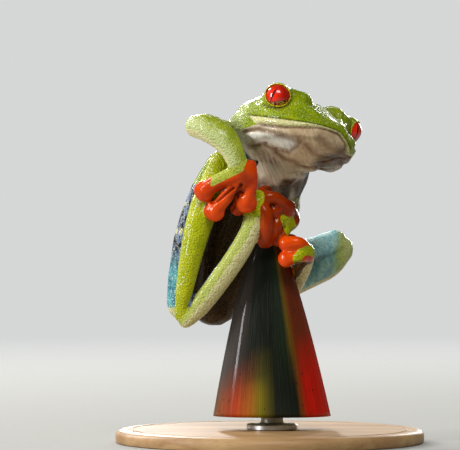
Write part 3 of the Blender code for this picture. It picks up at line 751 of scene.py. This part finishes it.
# right thigh: violet and blue outside; inside, where it lies in shadow between the shank and tarsus,
# dark brown painted shade; the shank hides the line between them
thigh = on("thigh_right")
low_on_thigh = 1.0 - step(points[:, 2], 45.0, 48.5)
inner = step(points[:, 0] - np.interp(points[:, 2], *SHANK_LINE), -0.6, 0.4)
inner *= step(facing(normals, 0.6, -0.8, 0.0), -0.2, 0.2)
shaded_gap = (thigh + trunk * (points[:, 0] < -3.0)) * inner * low_on_thigh
paint("violet", thigh * low_on_thigh)
paint("blue", thigh * (1.0 - step(points[:, 2], 28.0, 38.0)))
paint("cream", thigh * (1.0 - step(points[:, 2], 23.4, 25.4)))
for bar, width, strength in THIGH_BARS:
    paint("cream", strength * thigh * bell(points[:, 2] - bar, width))
for name in ("violet", "blue", "cream"):
    wipe(name, shaded_gap)
paint("brown_shade", shaded_gap)
paint("violet", trunk * inner * near(points, ((-12.6, 23.6), (-7.4, 25.0)), 0.45, 0.3))
for name, strength, parts, line, reach, soft in LINE_MARKS:
    paint(name, strength * on(*parts) * near(points, line, reach, soft))

# left leg: blue in front under a paler painted sheen, painted shade in its cleft, and mint, partly
# painted sheen, and yellow at the knee; left flank blue, with the painted shade wiped off it
thigh, shank = on("thigh_left"), on("shank_left")
knee = step(points[:, 0], 10.8, 14.8)
front = step(facing(normals, 0.2, -1.0, 0.1), -0.2, 0.2) * (1.0 - knee)
lit = step(facing(normals, 0.0, -0.5, 0.85), 0.1, 0.8)
folded = (thigh + shank) * step(-normals[:, 1], -0.1, 0.2)
paint("blue", front * (thigh + 0.62 * shank))
# a paler turquoise painted sheen over the front of the left leg, most on the thigh where it faces up
paint("turquoise_sheen", front * (thigh * (0.6 + 0.4 * lit) + 0.5 * shank))
paint("yellow", (thigh + shank) * step(points[:, 0], 9.0, 14.0))
# mint at the knee, partly painted sheen
paint("mint_and_sheen", 0.75 * (thigh + shank) * step(points[:, 0], 11.5, 15.0))
# painted shade in the cleft between the left thigh and shank
paint("dark", 0.7 * folded * bell(from_line(points, LEG_CLEFT)[0], 0.3))
flank = on("trunk", "upper_arm_left") * near(points, ((3.9, 45.4), (4.1, 42.4)), 0.6)
for name in ("umber_shade", "dark"):
    wipe(name, flank)
paint("blue", flank)

# hands and feet: orange, with the wrists and heels, the outer finger and the outer toe green; umber
# painted shade on the low left toe and painted shade in the folds; painted shade between the granules
# elsewhere
hand = on("hand_right", "forearm_right") * (points[:, 0] > -10.6)
beyond = step(np.interp(points[:, 0], *WRIST_LINE) - points[:, 2], -0.15, 0.15)
paint("orange", hand * beyond * on("forearm_right") * (points[:, 2] < 52.0))
wipe("orange", hand * (1.0 - beyond))
for name, line, reach, soft in GREEN_SPOTS:
    wipe("orange", on(name) * near(points, line, reach, soft))
low_toe = on("foot_left") * step(33.0 - points[:, 2], -0.1, 0.3) * step(points[:, 0], 3.9, 4.5)
wipe("orange", low_toe)
# umber painted shade on the low left toe
paint("umber_shade", low_toe)
# painted shade in the folds of the hands and feet
paint("deep", 0.9 * marks["fold"] * on(*FINE_PARTS))
# painted shade between the granules, less on the wrinkled throat and the smoother limbs, none on the
# orange or the lids
smooth = (1.0 - marks["orange"]) * (1.0 - 0.7 * marks["wrinkled"]) * (1.0 - marks["lid"])
paint("granule_shade", smooth * (1.0 - 0.5 * on("tarsus_right", "forearm_right", "shank_right")))

for name in marks:
    marks[name] = blur(marks[name], ends, 2)


def silicone_skin():
    """Silicone cast from a granular mould, airbrushed and glazed: fine pebbles under a wet gloss."""
    material, add = new_material("glazed_silicone_skin")
    place = add("TexCoord")
    uneven, cloud, fleck = (
        add("TexNoise", {"Vector": (place, "Object"), "Scale": 1000.0 / size, "Detail": 3.0})
        for size in (UNEVEN, CLOUD, FLECK))
    drawn_out = (
        add("Mapping", {
            "Vector": (place, "Object"), "Rotation": (0.0, math.radians(lean), 0.0),
            "Scale": (across / 1000.0, 0.002, along / 1000.0)}, vector_type="TEXTURE")
        for across, along, lean in (MOTTLE, WRINKLE))
    mottle, wrinkle = (
        add("TexNoise", {"Vector": (turned, 0), "Scale": 1.0, "Detail": 3.0})
        for turned in drawn_out)

    def marked(name, soft, rough):
        """Where a marking is, with its edge sharpened and made a little uneven."""
        value = add("Attribute", attribute_name=name)
        centred = add("Math", {0: (uneven, "Fac"), 1: 0.5}, operation="SUBTRACT")
        shifted = add("Math", {0: (centred, 0), 1: rough * 4.0, 2: (value, "Fac")},
                      operation="MULTIPLY_ADD")
        return add("MapRange", {
            "Value": (shifted, 0), "From Min": 0.5 - soft, "From Max": 0.5 + soft},
            interpolation_type="SMOOTHSTEP")

    def sprayed(under, name, pattern, stops, soft=0.12, rough=0.12):
        """A coat with one more paint sprayed on where a marking is, mottled if it has a pattern."""
        if pattern:
            colour = (add("ValToRGB", {"Fac": (pattern, "Fac")}, stops=stops), "Color")
        else:
            colour = srgb(stops)
        return add("MixRGB", {
            "Fac": (marked(name, soft, rough), "Result"), "Color1": (under, "Color"), "Color2": colour})

    coat = add("ValToRGB", {"Fac": (cloud, "Fac")}, stops=((0.3, "#7A9200"), (0.7, "#9EAD00")))
    coat = sprayed(coat, "yellow", cloud, ((0.35, "#A5B002"), (0.65, "#BBC010")), soft=0.4)
    # pale mint, partly the skin's own pale parts and partly painted light
    coat = sprayed(coat, "mint_and_sheen", None, "#C6D08C", soft=0.5, rough=0.03)
    coat = sprayed(coat, "violet", mottle, ((0.42, "#10152C"), (0.56, "#7F90AC")))
    coat = sprayed(coat, "blue", mottle, ((0.35, "#2F7F98"), (0.65, "#78CACC")), soft=0.4)
    # paler turquoise painted sheen
    coat = sprayed(coat, "turquoise_sheen", mottle, ((0.35, "#98D6E2"), (0.65, "#D8F8F0")), soft=0.5, rough=0.05)
    # dark brown painted shade
    coat = sprayed(coat, "brown_shade", fleck, ((0.35, "#2C2118"), (0.65, "#4E3C2A")))
    throat = add("ValToRGB", {"Fac": (wrinkle, "Fac")}, stops=((0.28, "#C0A480"), (0.72, "#E0CAA6")))
    # painted light on the throat
    throat = sprayed(throat, "pale", wrinkle, ((0.28, "#C9C3B4"), (0.6, "#F2EFE4")), soft=0.5)
    coat = add("MixRGB", {
        "Fac": (marked("throat", 0.12, 0.12), "Result"), "Color1": (coat, "Color"),
        "Color2": (throat, "Color")})
    # umber painted shade
    coat = sprayed(coat, "umber_shade", fleck, ((0.35, "#42250F"), (0.65, "#5E3A1C")), soft=0.5)
    coat = sprayed(coat, "cream", fleck, ((0.35, "#D8D288"), (0.65, "#E9E4B2")))
    orange = add("ValToRGB", {"Fac": (cloud, "Fac")}, stops=((0.35, "#C23000"), (0.65, "#E04A00")))
    wet_parts = marked("orange", 0.08, 0.04)
    coat = add("MixRGB", {
        "Fac": (wet_parts, "Result"), "Color1": (coat, "Color"), "Color2": (orange, "Color")})
    # painted shade deepens the orange where the hands and feet lie in shadow and in their folds
    deep = add("Attribute", attribute_name="deep")
    shaded_orange = add("MixRGB", {
        "Fac": (deep, "Fac"), "Color1": (coat, "Color"), "Color2": srgb("#5A1800")})
    coat = add("MixRGB", {
        "Fac": (wet_parts, "Result"), "Color1": (coat, "Color"), "Color2": (shaded_orange, "Color")})
    coat = sprayed(coat, "lid", None, "#E0CC28", rough=0.0)
    # near-black painted shade in the mouth, nostrils and creases, and the right tarsus's dark specks
    coat = sprayed(coat, "dark", None, "#1A1406", soft=0.5, rough=0.0)

    # painted shade darkens the folds and the hollows between the granules, and painted highlights
    # put pale glints on some granules
    crease_shaded = add("MixRGB", {
        "Fac": 1.0, "Color1": (coat, "Color"), "Color2": srgb("#8A6448")}, blend_type="MULTIPLY")
    fold = add("Attribute", attribute_name="fold")
    coat = add("MixRGB", {
        "Fac": (fold, "Fac"), "Color1": (coat, "Color"), "Color2": (crease_shaded, "Color")})
    pebbles = add("TexVoronoi", {"Vector": (place, "Object"), "Scale": 1000.0 / PEBBLE})
    between = add("MapRange", {"Value": (pebbles, "Distance"), "From Min": 0.3, "From Max": 0.75})
    granule_shade = add("Attribute", attribute_name="granule_shade")
    gaps = add("Math", {0: (between, "Result"), 1: (granule_shade, "Fac")}, operation="MULTIPLY")
    shaded = add("VectorMath", {0: (coat, "Color"), "Scale": 0.72}, operation="SCALE")
    coat = add("MixRGB", {"Fac": (gaps, 0), "Color1": (coat, "Color"), "Color2": (shaded, "Vector")})
    dot = add("MapRange", {"Value": (pebbles, "Distance"), "From Min": 0.42, "From Max": 0.2})
    some = add("MapRange", {"Value": (uneven, "Fac"), "From Min": 0.44, "From Max": 0.6})
    painted_glints = add("Attribute", attribute_name="painted_glints")
    dots = add("Math", {0: (dot, "Result"), 1: (some, "Result")}, operation="MULTIPLY")
    dotted = add("Math", {0: (dots, 0), 1: (painted_glints, "Fac")}, operation="MULTIPLY")
    coat = add("MixRGB", {"Fac": (dotted, 0), "Color1": (coat, "Color"), "Color2": srgb("#EFF4DE")})

    # the throat and limbs are finely wrinkled, the hands and feet smooth and wet
    domes = add("Math", {0: 1.0, 1: (pebbles, "Distance")}, operation="SUBTRACT")
    wrinkled = add("Attribute", attribute_name="wrinkled")
    relief = add("MixRGB", {"Fac": (wrinkled, "Fac"), "Color1": (domes, 0), "Color2": (wrinkle, "Fac")})
    raised, dull, wet = (
        add("MapRange", {"Value": (wet_parts, "Result"), "To Min": on_body, "To Max": on_hands})
        for on_body, on_hands in ((1.0, 0.14), (0.46, 0.3), (0.24, 0.3)))
    grain = add("Bump", {
        "Height": (relief, "Color"), "Strength": (raised, "Result"), "Distance": 0.0002})
    surface = add("BsdfPrincipled", {
        "Base Color": (coat, "Color"), "Roughness": (dull, "Result"), "Specular IOR Level": 0.14,
        "Specular Tint": (1.0, 0.85, 0.4, 1.0), "Coat Weight": (wet, "Result"), "Coat Roughness": 0.09,
        "Subsurface Weight": 0.05, "Subsurface Scale": 0.0005, "Normal": (grain, "Normal")})
    add("OutputMaterial", {"Surface": (surface, "BSDF")})
    return material


frog_skin = put("frog_skin", skin, silicone_skin())
for name, values in marks.items():
    marking = frog_skin.data.attributes.new(name, "FLOAT", "POINT")
    marking.data.foreach_set("value", values.astype(np.float32))
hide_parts(*FLESH)
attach(frog_skin, "root")

# ---------------------------------------------------------------- eyes
# Glass taxidermy eyes: clear domes over a red painted iris with an upright black slit, set in the
# sockets before the skin goes on.

PUPILS = {
    # the side, the way the pupil looks, and the way its slit runs
    "right": (-1.0, Vector((-0.42, -0.90, 0.10)), Vector((0.42, -0.10, 0.90))),
    "left": (1.0, Vector((0.70, -0.71, 0.0)), Vector((0.10, 0.20, 0.95))),
}
SLIT_HALF_WIDTH = 0.19
SLIT_HALF_LENGTH = 1.5
IRIS_THREAD = 0.25  # size of the fine threads in the iris


def glass_eye():
    """Clear glass over oil paint: a wet highlight on deep red, darker towards the rim."""
    material, add = new_material("glass_eye_red_iris")
    uv = add("UVMap", uv_map="iris")
    centred = add("VectorMath", {0: (uv, "UV"), 1: (0.5, 0.5, 0.0)}, operation="SUBTRACT")
    sized = add("VectorMath", {0: (centred, 0), "Scale": 2.0 * EYE_RADIUS}, operation="SCALE")
    axes = add("SeparateXYZ", {0: (sized, 0)})
    out = add("VectorMath", {0: (sized, 0)}, operation="LENGTH")
    place = add("TexCoord")
    threads = add("TexNoise", {
        "Vector": (place, "Object"), "Scale": 1000.0 / IRIS_THREAD, "Detail": 3.0})
    wavy = add("Math", {0: (threads, "Fac"), 1: 0.9, 2: (out, "Value")}, operation="MULTIPLY_ADD")
    depth = add("MapRange", {"Value": (wavy, 0), "From Min": 0.6, "From Max": 2.9})
    iris = add("ValToRGB", {"Fac": (depth, "Result")}, stops=((0.2, "#F02600"), (0.8, "#AE0E00")))
    across = add("Math", {0: (axes, "X")}, operation="ABSOLUTE")
    wide = add("Math", {0: (across, 0), 1: SLIT_HALF_WIDTH}, operation="DIVIDE")
    tall = add("Math", {0: (axes, "Y"), 1: SLIT_HALF_LENGTH}, operation="DIVIDE")
    taper = add("Math", {0: (tall, 0), 1: (tall, 0), 2: (wide, 0)}, operation="MULTIPLY_ADD")
    slit = add("MapRange", {"Value": (taper, 0), "From Min": 1.15, "From Max": 0.85})
    colour = add("MixRGB", {
        "Fac": (slit, "Result"), "Color1": (iris, "Color"), "Color2": srgb("#050303")})
    glass = add("BsdfPrincipled", {
        "Base Color": (colour, "Color"), "Roughness": 0.3, "Specular IOR Level": 0.2,
        "Coat Weight": 1.0, "Coat Roughness": 0.02})
    add("OutputMaterial", {"Surface": (glass, "BSDF")})
    return material


eye_glass = glass_eye()
for name, (side, look, upright) in PUPILS.items():
    look = look.normalized()
    across = upright.cross(look).normalized()
    upright = look.cross(across)
    eye_turn = Matrix((across, upright, look)).transposed().to_4x4()
    ball = bmesh.new()
    bmesh.ops.create_uvsphere(ball, u_segments=64, v_segments=40, radius=EYE_RADIUS,
                              matrix=Matrix.Translation(eye_centre(side)) @ eye_turn)
    iris_map = ball.loops.layers.uv.new("iris")
    for face in ball.faces:
        for loop in face.loops:
            offset = loop.vert.co - eye_centre(side)
            loop[iris_map].uv = (0.5 + offset.dot(across) / (2.0 * EYE_RADIUS),
                                 0.5 + offset.dot(upright) / (2.0 * EYE_RADIUS))
    eye = put(f"glass_eye_{name}", ball, eye_glass)
    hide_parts(f"eye_{name}")
    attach(eye, "root")

# ---------------------------------------------------------------- lower eyelids
# A thin clear lid, netted with gold, half drawn up under each eye. Cast clear resin, painted with
# gold leaf lines and slipped between the eye and the skin.

LID_OVER_EYE = 0.05
LID_EDGE = {
    # the way each free edge faces, and how far beyond the eye's middle it lies
    "right": ((-0.15, 0.0, 1.0), -0.82),
    "left": ((0.45, 0.1, 0.9), -0.9),
}
DARK_START, DARK_FULL = 0.16, 0.1  # how far from that edge its dark strip starts and is full
NET_MESH = 0.55


def netted_resin():
    """Clear red-brown resin with a net of bright gold lines and a dark free edge."""
    material, add = new_material("gold_netted_resin")
    place = add("TexCoord")
    net = add("TexVoronoi", {"Vector": (place, "Object"), "Scale": 1000.0 / NET_MESH},
              feature="DISTANCE_TO_EDGE")
    line = add("MapRange", {"Value": (net, "Distance"), "From Min": 0.1, "From Max": 0.04})
    tint = add("MixRGB", {
        "Fac": (line, "Result"), "Color1": srgb("#5E0D06"), "Color2": srgb("#D9B24A")})
    edge = add("Attribute", attribute_name="edge")
    edged = add("MixRGB", {"Fac": (edge, "Fac"), "Color1": (tint, "Color"), "Color2": srgb("#120A05")})
    marked = add("Math", {0: (line, "Result"), 1: (edge, "Fac")}, operation="MAXIMUM")
    cover = add("MapRange", {"Value": (marked, 0), "To Min": 0.55, "To Max": 1.0})
    resin = add("BsdfPrincipled", {
        "Base Color": (edged, "Color"), "Roughness": 0.2, "Alpha": (cover, "Result"),
        "Coat Weight": 0.6, "Coat Roughness": 0.05})
    add("OutputMaterial", {"Surface": (resin, "BSDF")})
    return material


resin = netted_resin()
for name, (upwards, level) in LID_EDGE.items():
    side = PUPILS[name][0]
    upwards = Vector(upwards).normalized()
    lid = bmesh.new()
    bmesh.ops.create_uvsphere(lid, u_segments=64, v_segments=40, radius=EYE_RADIUS + LID_OVER_EYE,
                              matrix=Matrix.Translation(eye_centre(side)))
    for height in (level - DARK_START, level):
        bmesh.ops.bisect_plane(lid, geom=lid.verts[:] + lid.edges[:] + lid.faces[:],
                               plane_co=eye_centre(side) + upwards * height, plane_no=upwards,
                               clear_outer=height == level)
    edge_layer = lid.verts.layers.float.new("edge")
    for vert in lid.verts:
        vert[edge_layer] = float((vert.co - eye_centre(side)).dot(upwards) > level - DARK_FULL)
    piece = put(f"lower_eyelid_{name}", lid, resin)
    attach(piece, "root")

# ---------------------------------------------------------------- bract
# The pointed end of a Heliconia bract, cut square: a thick folded leaf, waxy and ribbed lengthwise,
# dark green down the middle, olive and orange-red towards its edges. A socket takes the stand's rod.

BRACT_FOOT = Vector((0.4, -2.0, 4.9))
BRACT_TIP = Vector((-0.6, -6.2, 40.0))
BRACT_LENGTH = (BRACT_TIP - BRACT_FOOT).length
BRACT_HALF_WIDTH = 10.5
BRACT_RINGS = 70
BRACT_FLAT = 0.62  # its depth, as a share of its width
BRACT_SKIN = 0.7  # thickness of the coloured skin where the bract is cut
PITH_RECESS = 0.25
PITH_INSET = 1.2  # width of the ring of pith before it is drawn in to the socket
ROD_SOCKET = 2.25  # radius of the hole for the stand's rod
ROD_SOCKET_TOP = 10.4
STREAK = (BRACT_HALF_WIDTH / 26, BRACT_LENGTH / 2.4)  # width and length
RIB = (BRACT_HALF_WIDTH / 70, BRACT_LENGTH / 1.2)
CLOUDED, SPOTTED = 6.25, 10 / 13  # sizes of the colour's clouds and of its dark flecks
# colours from edge to edge: place across, -1 to 1, and colour
UPPER_STRIPES = ((-1.0, "#4A4340"), (-0.66, "#3A3330"), (-0.42, "#161A12"), (0.0, "#0B1208"),
                 (0.3, "#152410"), (0.42, "#644A00"), (0.54, "#6A2A08"), (1.0, "#722A16"))
LOWER_STRIPES = ((-1.0, "#7A4A28"), (-0.6, "#B03A10"), (-0.36, "#A85A10"), (-0.16, "#7A6E00"),
                 (0.04, "#0C1407"), (0.38, "#0A1208"), (0.47, "#6A3404"), (0.58, "#C41400"))


def waxy_bract():
    """A waxy leaf skin: sharp streaky gloss over fine lengthwise ribs, with a few dark flecks."""
    material, add = new_material("waxy_heliconia_bract")
    place = add("TexCoord")
    across = add("Attribute", attribute_name="across")
    height = add("Attribute", attribute_name="height")
    lengthwise = add("CombineXYZ", {"X": (across, "Fac"), "Y": (height, "Fac")})
    drawn_out = (
        add("Mapping", {
            "Vector": (lengthwise, 0), "Scale": (BRACT_HALF_WIDTH / width, BRACT_LENGTH / length, 1.0)})
        for width, length in (STREAK, RIB))
    streak, rib = (
        add("TexNoise", {"Vector": (drawn, 0), "Scale": 1.0, "Detail": detail})
        for drawn, detail in zip(drawn_out, (5.0, 2.0)))
    cloud = add("TexNoise", {"Vector": (place, "Object"), "Scale": 1000.0 / CLOUDED, "Detail": 3.0})
    uneven = add("Math", {0: (streak, "Fac"), 1: 0.1, 2: (across, "Fac")}, operation="MULTIPLY_ADD")
    unit = add("MapRange", {"Value": (uneven, 0), "From Min": -0.95, "From Max": 1.05})
    upper, lower = (
        add("ValToRGB", {"Fac": (unit, "Result")},
            stops=[((place_across + 1.0) / 2.0, code) for place_across, code in stripes])
        for stripes in (UPPER_STRIPES, LOWER_STRIPES))
    shifted = add("Math", {0: (cloud, "Fac"), 1: 0.2, 2: (height, "Fac")}, operation="MULTIPLY_ADD")
    rising = add("Math", {0: (across, "Fac"), 1: -0.13, 2: (shifted, 0)}, operation="MULTIPLY_ADD")
    low = add("MapRange", {"Value": (rising, 0), "From Min": 0.5, "From Max": 0.18},
              interpolation_type="SMOOTHSTEP")
    skin_colour = add("MixRGB", {
        "Fac": (low, "Result"), "Color1": (upper, "Color"), "Color2": (lower, "Color")})
    shade = add("MapRange", {
        "Value": (streak, "Fac"), "From Min": 0.3, "From Max": 0.7, "To Min": 0.78, "To Max": 1.18})
    streaked = add("VectorMath", {0: (skin_colour, "Color"), "Scale": (shade, "Result")},
                   operation="SCALE")
    fleck = add("TexNoise", {"Vector": (place, "Object"), "Scale": 1000.0 / SPOTTED, "Detail": 1.0})
    rare = add("MapRange", {"Value": (fleck, "Fac"), "From Min": 0.72, "From Max": 0.76})
    flecked = add("MixRGB", {
        "Fac": (rare, "Result"), "Color1": (streaked, 0), "Color2": srgb("#0C0A08")})
    pith = add("Attribute", attribute_name="pith")
    whole = add("MixRGB", {
        "Fac": (pith, "Fac"), "Color1": (flecked, "Color"), "Color2": srgb("#B9B98A")})
    ribs = add("Bump", {"Height": (rib, "Fac"), "Strength": 1.0, "Distance": 0.0002})
    leaf = add("BsdfPrincipled", {
        "Base Color": (whole, "Color"), "Roughness": 0.4, "Specular IOR Level": 0.15,
        "Coat Weight": 0.25, "Coat Roughness": 0.1, "Normal": (ribs, "Normal")})
    add("OutputMaterial", {"Surface": (leaf, "BSDF")})
    return material


bract = bmesh.new()
bmesh.ops.create_cone(bract, cap_ends=True, segments=144, radius1=1.0, radius2=1.0, depth=1.0,
                      matrix=Matrix.Translation((0.0, 0.0, 0.5)))
for k in range(1, BRACT_RINGS):
    level = 1.0 - (1.0 - k / BRACT_RINGS) ** 1.5
    bmesh.ops.bisect_plane(bract, geom=bract.verts[:] + bract.edges[:] + bract.faces[:],
                           plane_co=(0, 0, level), plane_no=(0, 0, 1))
under = [face for face in bract.faces if face.calc_center_median().z < 0.001 and len(face.verts) > 4]
# tapered to the tip and flattened, with a fine keel down each edge and a shallow fold down its back
across_layer = bract.verts.layers.float.new("across")
height_layer = bract.verts.layers.float.new("height")
pith_layer = bract.verts.layers.float.new("pith")
for vert in bract.verts:
    height = vert.co.z
    turn = math.atan2(vert.co.y, vert.co.x)
    half = BRACT_HALF_WIDTH * (1.0 - height * 0.995) ** 0.67
    fold = (0.23 + 0.11 * height) * math.exp(-((abs(turn - math.pi / 2.0) / 0.32) ** 2))
    edge = math.exp(-(((abs(turn) - 0.06) / 0.07) ** 2)) + math.exp(-(((abs(turn) - 3.08) / 0.07) ** 2))
    wide = half * math.copysign(abs(math.cos(turn)) ** 0.85, math.cos(turn))
    wide += math.copysign(0.16 * edge * min(1.0, half / 3.0), wide)
    deep = half * math.sin(turn) * (BRACT_FLAT - fold)
    vert[across_layer] = math.cos(turn)
    vert[height_layer] = height
    vert.co = BRACT_FOOT.lerp(BRACT_TIP, height) + Vector((wide, deep, 0.0))
# the cut face: a rim of skin round paler pith, and the socket for the rod
bmesh.ops.inset_region(bract, faces=under, thickness=BRACT_SKIN, use_even_offset=True)
for vert in under[0].verts:
    vert[pith_layer] = 1.0
    vert.co.z += PITH_RECESS
bmesh.ops.inset_region(bract, faces=under, thickness=PITH_INSET, use_even_offset=True)
rod_line = Vector((BRACT_FOOT.x, BRACT_FOOT.y, 0.0))
for vert in under[0].verts:
    vert[pith_layer] = 1.0
    out = Vector((vert.co.x, vert.co.y, 0.0)) - rod_line
    vert.co = rod_line + out.normalized() * ROD_SOCKET + Vector((0.0, 0.0, BRACT_FOOT.z + 0.4))
for face in bmesh.ops.extrude_discrete_faces(bract, faces=under)["faces"]:
    for vert in face.verts:
        vert[pith_layer] = 1.0
        vert.co.z = ROD_SOCKET_TOP
bmesh.ops.recalc_face_normals(bract, faces=bract.faces)
bract_piece = put("heliconia_bract", bract, waxy_bract())
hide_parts("perch_bract")
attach(bract_piece, "root")

# ---------------------------------------------------------------- stand rod
# A short stainless rod turned with a round foot, brushed round its length and screwed to the base
# from below.

ROD_PROFILE = (
    # radius and height
    (0.0, 2.42), (4.35, 2.42), (4.6, 2.6), (4.6, 3.3), (4.4, 3.5), (2.5, 3.52), (2.15, 3.7),
    (2.0, 4.1), (2.0, 9.7), (1.8, 10.0), (0.0, 10.0),
)
SCRATCH = (50 / 3, 1 / 9)  # length and width, coarser than real brushing so that it shows


def brushed_steel():
    """Brushed stainless steel: fine rings of scratches that stretch the highlights."""
    material, add = new_material("brushed_stainless_steel")
    place = add("TexCoord")
    long, fine = (1000.0 / size for size in SCRATCH)
    rings = add("Mapping", {"Vector": (place, "Object"), "Scale": (long, long, fine)})
    scratch = add("TexNoise", {"Vector": (rings, 0), "Scale": 1.0, "Detail": 3.0})
    tone = add("ValToRGB", {"Fac": (scratch, "Fac")}, stops=((0.0, "#A9ABAD"), (1.0, "#CFD0D1")))
    worn = add("MapRange", {"Value": (scratch, "Fac"), "To Min": 0.22, "To Max": 0.42})
    lines = add("Bump", {"Height": (scratch, "Fac"), "Strength": 0.4, "Distance": 0.00005})
    steel = add("BsdfPrincipled", {
        "Base Color": (tone, "Color"), "Metallic": 1.0, "Roughness": (worn, "Result"),
        "Normal": (lines, "Normal")})
    add("OutputMaterial", {"Surface": (steel, "BSDF")})
    return material


def turned(profile, steps):
    """A turned shape about the upright axis from (radius, height) points."""
    bm = bmesh.new()
    verts = [bm.verts.new((radius, 0.0, height)) for radius, height in profile]
    edges = [bm.edges.new(pair) for pair in zip(verts, verts[1:])]
    bmesh.ops.spin(bm, geom=verts + edges, axis=(0, 0, 1), cent=(0, 0, 0), steps=steps,
                   angle=2.0 * math.pi, use_merge=True)
    bmesh.ops.remove_doubles(bm, verts=bm.verts, dist=0.001)
    bmesh.ops.recalc_face_normals(bm, faces=bm.faces)
    return bm


rod = turned(ROD_PROFILE, 64)
bmesh.ops.translate(rod, verts=rod.verts, vec=rod_line)
steel_rod = put("steel_rod", rod, brushed_steel())
steel_rod.data.set_sharp_from_angle(angle=math.radians(40.0))
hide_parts("stand_rod")
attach(steel_rod, "root")

# ---------------------------------------------------------------- stand base
# A thin maple disc turned on a lathe, with a quirk line near its edge and a rounded rim, sanded fine
# and finished with satin lacquer.

BASE_PROFILE = (
    # radius and height
    (0.0, 0.0), (27.5, 0.0), (27.85, 0.15), (28.0, 0.5), (28.0, 1.3), (27.9, 1.75), (27.6, 2.1),
    (27.1, 2.33), (26.5, 2.4), (25.6, 2.4), (25.45, 2.2), (25.2, 2.16), (24.95, 2.2), (24.8, 2.4),
    (0.0, 2.4),
)
WOOD_GRAIN, WOOD_PORES = (62.5, 50 / 13), (50 / 9, 0.3125)  # length and width


def lacquered_maple():
    """Maple under satin lacquer: soft straight grain, darker in the end grain, with a low sheen."""
    material, add = new_material("satin_lacquered_maple")
    place = add("TexCoord")
    along, fine = (
        add("Mapping", {
            "Vector": (place, "Object"), "Scale": (1000.0 / length, 1000.0 / width, 1000.0 / width)})
        for length, width in (WOOD_GRAIN, WOOD_PORES))
    grain = add("TexNoise", {"Vector": (along, 0), "Scale": 1.0, "Detail": 5.0, "Distortion": 0.6})
    pore = add("TexNoise", {"Vector": (fine, 0), "Scale": 1.0, "Detail": 2.0})
    wood = add("ValToRGB", {"Fac": (grain, "Fac")}, stops=((0.3, "#9C744A"), (0.68, "#BF9A6C")))
    dark = add("MapRange", {
        "Value": (pore, "Fac"), "From Min": 0.3, "From Max": 0.45, "To Min": 0.82, "To Max": 1.0})
    toned = add("VectorMath", {0: (wood, "Color"), "Scale": (dark, "Result")}, operation="SCALE")
    relief = add("Bump", {"Height": (pore, "Fac"), "Strength": 0.3, "Distance": 0.00003})
    lacquer = add("BsdfPrincipled", {
        "Base Color": (toned, 0), "Roughness": 0.5, "Specular IOR Level": 0.35, "Coat Weight": 0.08,
        "Coat Roughness": 0.3, "Normal": (relief, "Normal")})
    add("OutputMaterial", {"Surface": (lacquer, "BSDF")})
    return material


maple_base = put("maple_base", turned(BASE_PROFILE, 128), lacquered_maple())
maple_base.data.set_sharp_from_angle(angle=math.radians(40.0))
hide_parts("stand_base")
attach(maple_base, "root")
